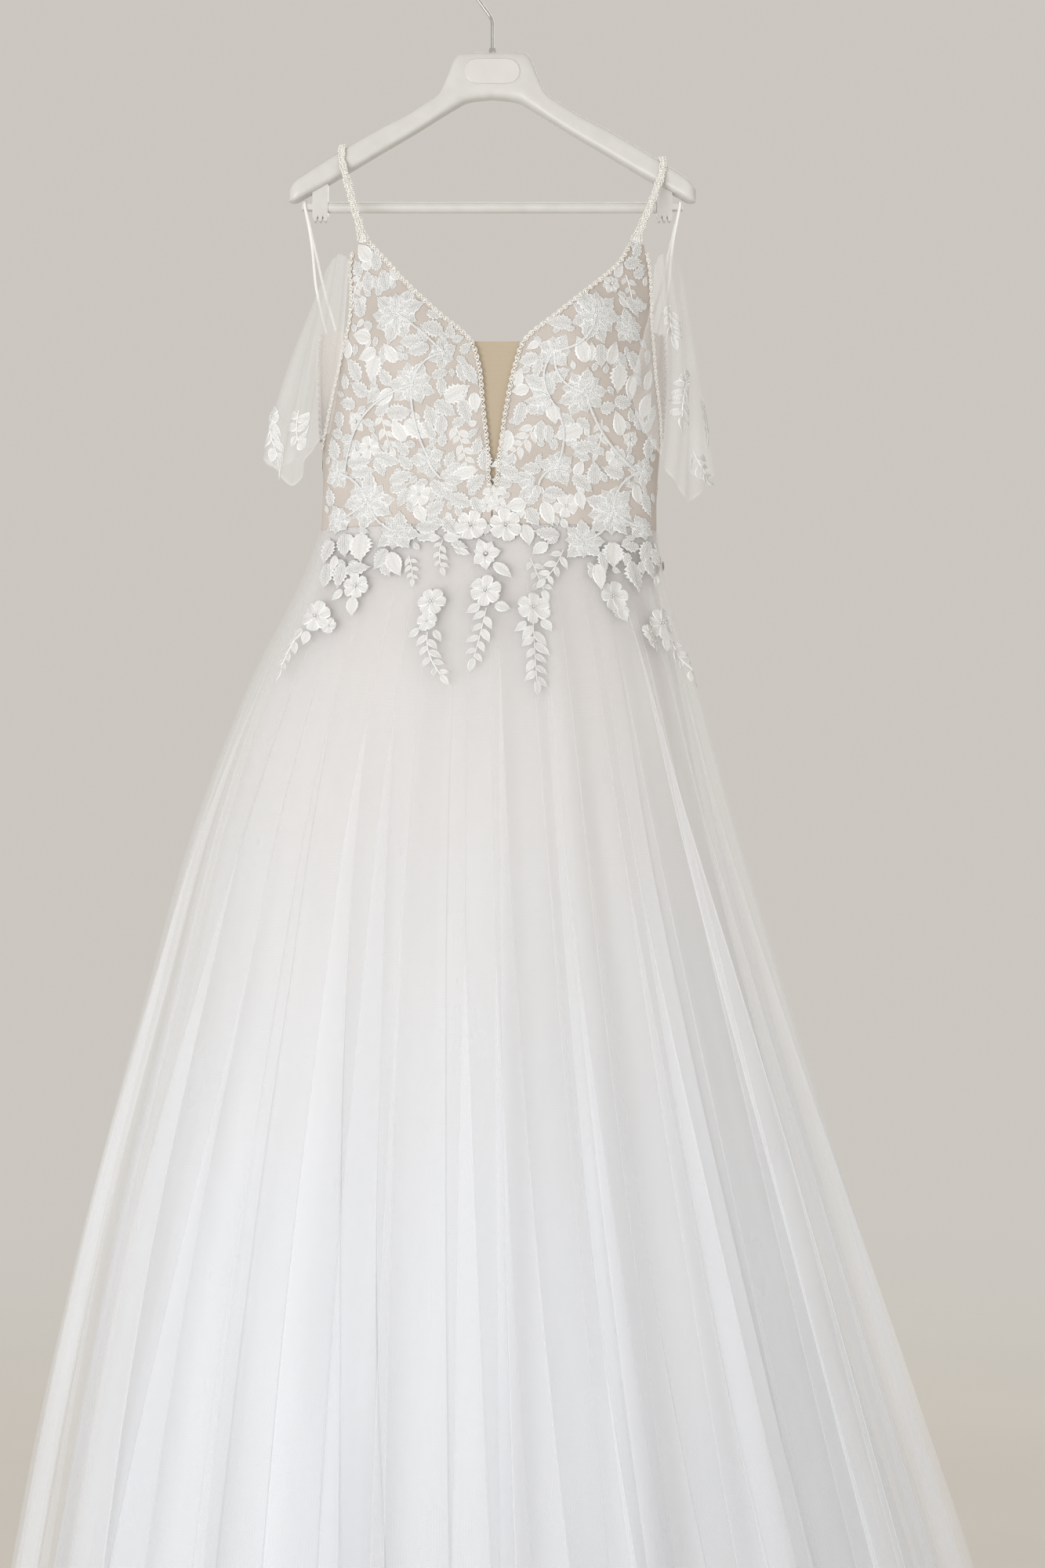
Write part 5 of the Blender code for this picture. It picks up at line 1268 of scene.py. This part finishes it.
STEM_BOW = 0.22                                # at most, as a share of their length


def draw_motif(lace, kind, x, height, size, width, turn, rise=0.0):
    size, x, height = size / 1000, x / 1000, height / 1000
    lace.place = np.array((lace.angle_of(x, height), height))
    if kind in ("burst", "star"):
        lace.burst(size, width, turn, beaded=kind == "burst")
    elif kind == "fan":
        lace.burst(size, width, turn, spread=115.0)
    elif kind in ("rose", "floret"):
        lace.rose(size, width, turn, pearls=kind == "rose", rise=rise)
    elif kind == "sprig":
        lace.sprig(size, width, turn, lace.random.uniform(-40, 40),
                   size * (0.30 if width > 3 else 0.40), rise)
    else:
        lace.leaf((0.0, 0.0), size, width / 1000, turn, lace.random.uniform(-30, 30),
                  "almond" if kind == "almond" else "leaf", kind in ("bead", "almond"),
                  0.34 if kind in ("saw", "bead") else 0.10, rise + 0.0004,
                  15 if size > 0.025 else 11)


def circles_of(kind, x, height, size, width, turn):
    """What a motif covers, as rows of x, height and radius."""
    if kind in ("burst", "star", "rose", "floret"):
        return np.array([(x, height, size * 0.84)])
    if kind in ("fan", "sprig"):
        width = size * 0.62
    return np.array([(*polar(size * t, turn, (x, height)), width * share)
                     for t, share in ((0.15, 0.24), (0.45, 0.42), (0.8, 0.26))])


def lace_edge(x):
    """How far down the lace comes, in an uneven scallop."""
    return -650.0 - 32.0 * fade((abs(x) - 70.0) / 50.0) + 9.0 * math.sin(x / 11.0 + 0.6)


def on_front(x, height, way):
    """Whether a place, in millimetres, is on the lace of the front panel on that side."""
    side = "right" if way > 0 else "left"
    if height > PANEL_LOW * 1000:
        inner = abs(float(FRONT_EDGES.at("neck_" + side, height / 1000))) * 1000 + 3.5
        outer = abs(float(FRONT_EDGES.at("armhole_" + side, height / 1000))) * 1000 - 2.0
    else:
        inner = 3.0
        outer = float(BODICE.at(side, max(height / 1000, WAIST))) * 1000 - 1.0
    return inner < x * way < outer and height > lace_edge(x)


def on_back(x, height, way):
    """The same for the back panels, with x as it is seen from behind."""
    if not 5.0 < x * way < SIDE_SEAM or height < lace_edge(x) + 4.0:
        return False
    return height / 1000 < float(BACK_TOP.at("height", abs(back_angle(x / 1000, height / 1000)))) - 0.004


def fill_lace(lace, way, motifs, kept_clear, inside):
    """Leaves wherever the net is bare, the largest first, each turned away from a flower."""
    hearts = np.array([m[1:3] for m in motifs if m[0] in ("burst", "star", "fan")])
    taken = np.concatenate([circles_of(*motif) for motif in motifs + kept_clear])
    for size in FILL_SIZES:
        for _ in range(FILL_TRIES):
            x, z = way * lace.random.uniform(*FILL_ACROSS), lace.random.uniform(*FILL_UP)
            if not inside(x, z, way):
                continue
            apart = np.hypot(hearts[:, 0] - x, hearts[:, 1] - z)
            near = hearts[apart.argmin()]
            turn = (math.degrees(math.atan2(z - near[1], x - near[0]))
                    + lace.random.normal(0, FILL_SPREAD))
            beaded = lace.random.random() < (0.75 if apart.min() < FILL_NEAR else 0.25)
            leaf = ("bead" if beaded else "leaf", x, z, size * lace.random.uniform(0.9, 1.1),
                    size * lace.random.uniform(0.50, 0.64), turn)
            mine = circles_of(*leaf)
            if not inside(mine[2, 0], mine[2, 1], way):
                continue
            space = np.hypot(taken[:, 0, None] - mine[:, 0], taken[:, 1, None] - mine[:, 1])
            if (space < taken[:, 2, None] + mine[:, 2] - FILL_OVERLAP).any():
                continue
            taken = np.concatenate([taken, mine])
            draw_motif(lace, *leaf)


def join_flowers(lace, motifs):
    """Beaded stems, each bowed, from every flower to the nearest one above it."""
    hearts = [(m[1] / 1000, m[2] / 1000) for m in motifs if m[0] in ("burst", "fan")]
    for x, z in hearts:
        above = [other for other in hearts if other[1] > z + STEM_CLIMB]
        if not above:
            continue
        x1, z1 = min(above, key=lambda other: math.hypot(other[0] - x, other[1] - z))
        bow = lace.random.uniform(-STEM_BOW, STEM_BOW)
        middle = ((x + x1) / 2 - bow * (z1 - z), (z + z1) / 2 + bow * (x1 - x))
        lace.place = np.array((lace.angle_of(*middle), middle[1]))
        lace.cord(((x - middle[0], z - middle[1]), (0.0, 0.0), (x1 - middle[0], z1 - middle[1])),
                  beaded=True, rise=STEM_LIFT)


def cover(side, part, way, motifs, kept_clear, inside, seed, angle_of):
    """The lace over one half of the bodice's front or back."""
    lace = Lace(dress, seed, limit=keep_on_panels, angle_of=angle_of)
    for motif in motifs:
        draw_motif(lace, *motif)
    fill_lace(lace, way, motifs, kept_clear, inside)
    join_flowers(lace, motifs)
    lace.build(f"lace_{part}{side}", f"seed_beads_{part}{side}")


def make_lace():
    sprays = sum(SPRAY_LACE, ())
    cover("left", "", -1, LEFT_FLOWERS, sprays, on_front, 3, front_angle)
    cover("right", "", 1, RIGHT_FLOWERS, sprays, on_front, 8, front_angle)
    for number, motifs in enumerate(SPRAY_LACE, start=1):
        lace = Lace(dress, 20 + number, angle_of=front_angle)
        for motif in motifs:
            draw_motif(lace, *motif, rise=UNDER if number in SPRAYS_UNDER_TULLE else OVER)
        lace.build(f"spray_{number}", f"spray_pearls_{number}", f"skirt_spray_{number}")
    for side, facing in WAYS.items():
        lace = Lace(lambda fold, up: sleeve_cloth(side, fold, 1 - up), 61, (0.05, 0.02), facing)
        for row in SLEEVE_SPRIGS[side].rows():
            lace.place = np.array((row["fold"], 1 - row["drop"]))
            lace.sprig(row["length"], int(row["pairs"]), row["turn"], leaf=0.017, rise=0.0006)
            if row["pairs"] > 3:
                lace.rose(0.011, 5, row["turn"], rise=0.0008)
        lace.build("sleeve_lace_" + side, "sleeve_beads_" + side)
    for side, way, seed in (("left", 1, 31), ("right", -1, 37)):
        motifs = tuple((kind, way * x, z, size, width, turn if way > 0 else 180 - turn)
                       for kind, x, z, size, width, turn in BACK_FLOWERS)
        cover(side, "back_", way, motifs, (), on_back, seed, back_angle)


make_edges()
make_straps()
make_ribbons()
make_lace()

# ---------------- the hanger

HOOK_BEND, HOOK_WIRE = 0.0240, 0.0020          # the radius of the bow, and of the wire
HOOK_FROM, HOOK_TO = 215.7, -28.0              # the bow's angles, from its root to its tip
HOOK_FOOT, HOOK_NECK = -0.0947, -0.0630        # how high the wire starts and bends
HANGER_FLAT, HANGER_HALF, HANGER_SIDES = 0.057, 0.2225, 40     # its flat middle and its half width


def make_hanger():
    half = np.concatenate([np.linspace(0, HANGER_FLAT, 24),
                           np.linspace(HANGER_FLAT, HANGER_HALF, 40)[1:]])
    x = np.concatenate([-half[:0:-1], half])[:, None]
    top, bottom, depth = (HANGER.at(name, np.abs(x)) for name in ("top", "bottom", "half_depth"))
    turn = 2 * PI * (np.arange(HANGER_SIDES) + 0.5) / HANGER_SIDES
    rings = stack(x, depth * squarer(np.cos(turn)),
                  (top + bottom) / 2 + (top - bottom) / 2 * squarer(np.sin(turn)))
    last = (len(x) - 1) * HANGER_SIDES
    faces = grid_faces(len(x), HANGER_SIDES, closed=True)[:, ::-1].tolist()
    faces += [list(range(HANGER_SIDES)), list(range(last + HANGER_SIDES - 1, last - 1, -1))]
    body = add_mesh("hanger_shell", rings, faces, "plastic", "hanger_plastic", "hanger_body")
    body.data.set_sharp_from_angle(angle=math.radians(60))

    turns = np.linspace(math.radians(HOOK_FROM), math.radians(HOOK_TO), 60)
    bow = stack(HOOK_BEND * np.cos(turns), 0.0,
                HOOK_WIRE - HOOK_BEND + HOOK_BEND * np.sin(turns))
    foot, bend, lean = (np.array((0, 0, HOOK_FOOT)), np.array((0, 0, HOOK_NECK)), bow[0])
    path = [foot + (bend - foot) * t for t in np.linspace(0, 0.86, 6)]
    a, b = foot + (bend - foot) * 0.86, bend + (lean - bend) * 0.22
    for t in np.linspace(0, 1, 7)[1:]:
        path.append((1 - t) ** 2 * a + 2 * t * (1 - t) * (bend + (bend - foot) * 0.02) + t * t * b)
    path += [bend + (lean - bend) * t for t in (0.45, 0.75)]
    tip = bow[-1] + unit(bow[-1] - bow[-2]) * np.array([[0.0006], [0.0011], [0.0014]])
    path = np.concatenate([path, bow, tip])
    radius = np.full(len(path), HOOK_WIRE)
    radius[-3:] = (0.0018, 0.0013, 0.0006)
    tube("hook_wire", path, radius, "chrome", "chrome", "hanger_hook", sides=20)


make_hanger()
make_buttons()
for node, finish in (("hanger_badge", "plate"), ("hook_collar", "chrome"), ("trouser_bar", "plastic"),
                     ("bar_bracket_left", "plastic"), ("bar_bracket_right", "plastic")):
    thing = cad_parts[node]
    thing.data.materials.clear()
    thing.data.materials.append(MATERIALS[finish])

# ---------------- floor, light and camera

LAMPS = (("key", (-1.7, -3.2, -1.40), (0.0, 0.0, -1.3), 2.2, 84.0, (0.93, 0.965, 1.0)),
         ("fill", (1.6, -3.3, -0.3), (0.0, 0.0, -1.2), 2.8, 20.0, (0.96, 0.98, 1.0)),
         ("rim", (0.6, 2.8, 1.3), (0.0, 0.0, -0.9), 2.4, 32.0, (0.97, 0.985, 1.0)))


FLOOR, ROOM_LIGHT = -2.03, (0.600, 0.573, 0.530)
CAMERA_AT, CAMERA_LENS = (0.033, -2.389, -0.9015), 50.0


def make_stage():
    scene = bpy.context.scene
    floor = FINISHES["floor"]
    apart = floor.node("VectorMath", {0: floor.where()}, "Value", operation="LENGTH")
    near = floor.node("MapRange", {"Value": apart, "From Min": 0.9, "From Max": 3.4, "To Min": 1.0,
                                   "To Max": 0.0}, interpolation_type="SMOOTHSTEP")
    floor.see_through(floor.shader.outputs["BSDF"], near)
    ground = add_mesh("floor", [(-8, -8, 0), (8, -8, 0), (8, 8, 0), (-8, 8, 0)], [[0, 1, 2, 3]],
                      "floor", smooth=False)
    ground.location = (0, 0, FLOOR)

    scene.world = bpy.data.worlds.new("studio")
    scene.world.use_nodes = True
    background = scene.world.node_tree.nodes["Background"]
    background.inputs["Color"].default_value = (*ROOM_LIGHT, 1.0)
    background.inputs["Strength"].default_value = 1.0

    for name, where, aim, size, power, colour in LAMPS:
        lamp = bpy.data.lights.new(name, "AREA")
        lamp.size, lamp.energy, lamp.color = size, power, colour
        thing = bpy.data.objects.new(name, lamp)
        thing.location = where
        thing.rotation_euler = (Vector(aim) - Vector(where)).to_track_quat("-Z", "Y").to_euler()
        scene.collection.objects.link(thing)

    camera = bpy.data.cameras.new("camera")
    camera.lens, camera.sensor_width = CAMERA_LENS, 36.0
    view = bpy.data.objects.new("camera", camera)
    view.location = CAMERA_AT
    view.rotation_euler = (PI / 2, 0.0, 0.0)
    scene.collection.objects.link(view)
    scene.camera = view
    scene.view_settings.view_transform = "Standard"
    scene.cycles.transparent_max_bounces = 24


make_stage()
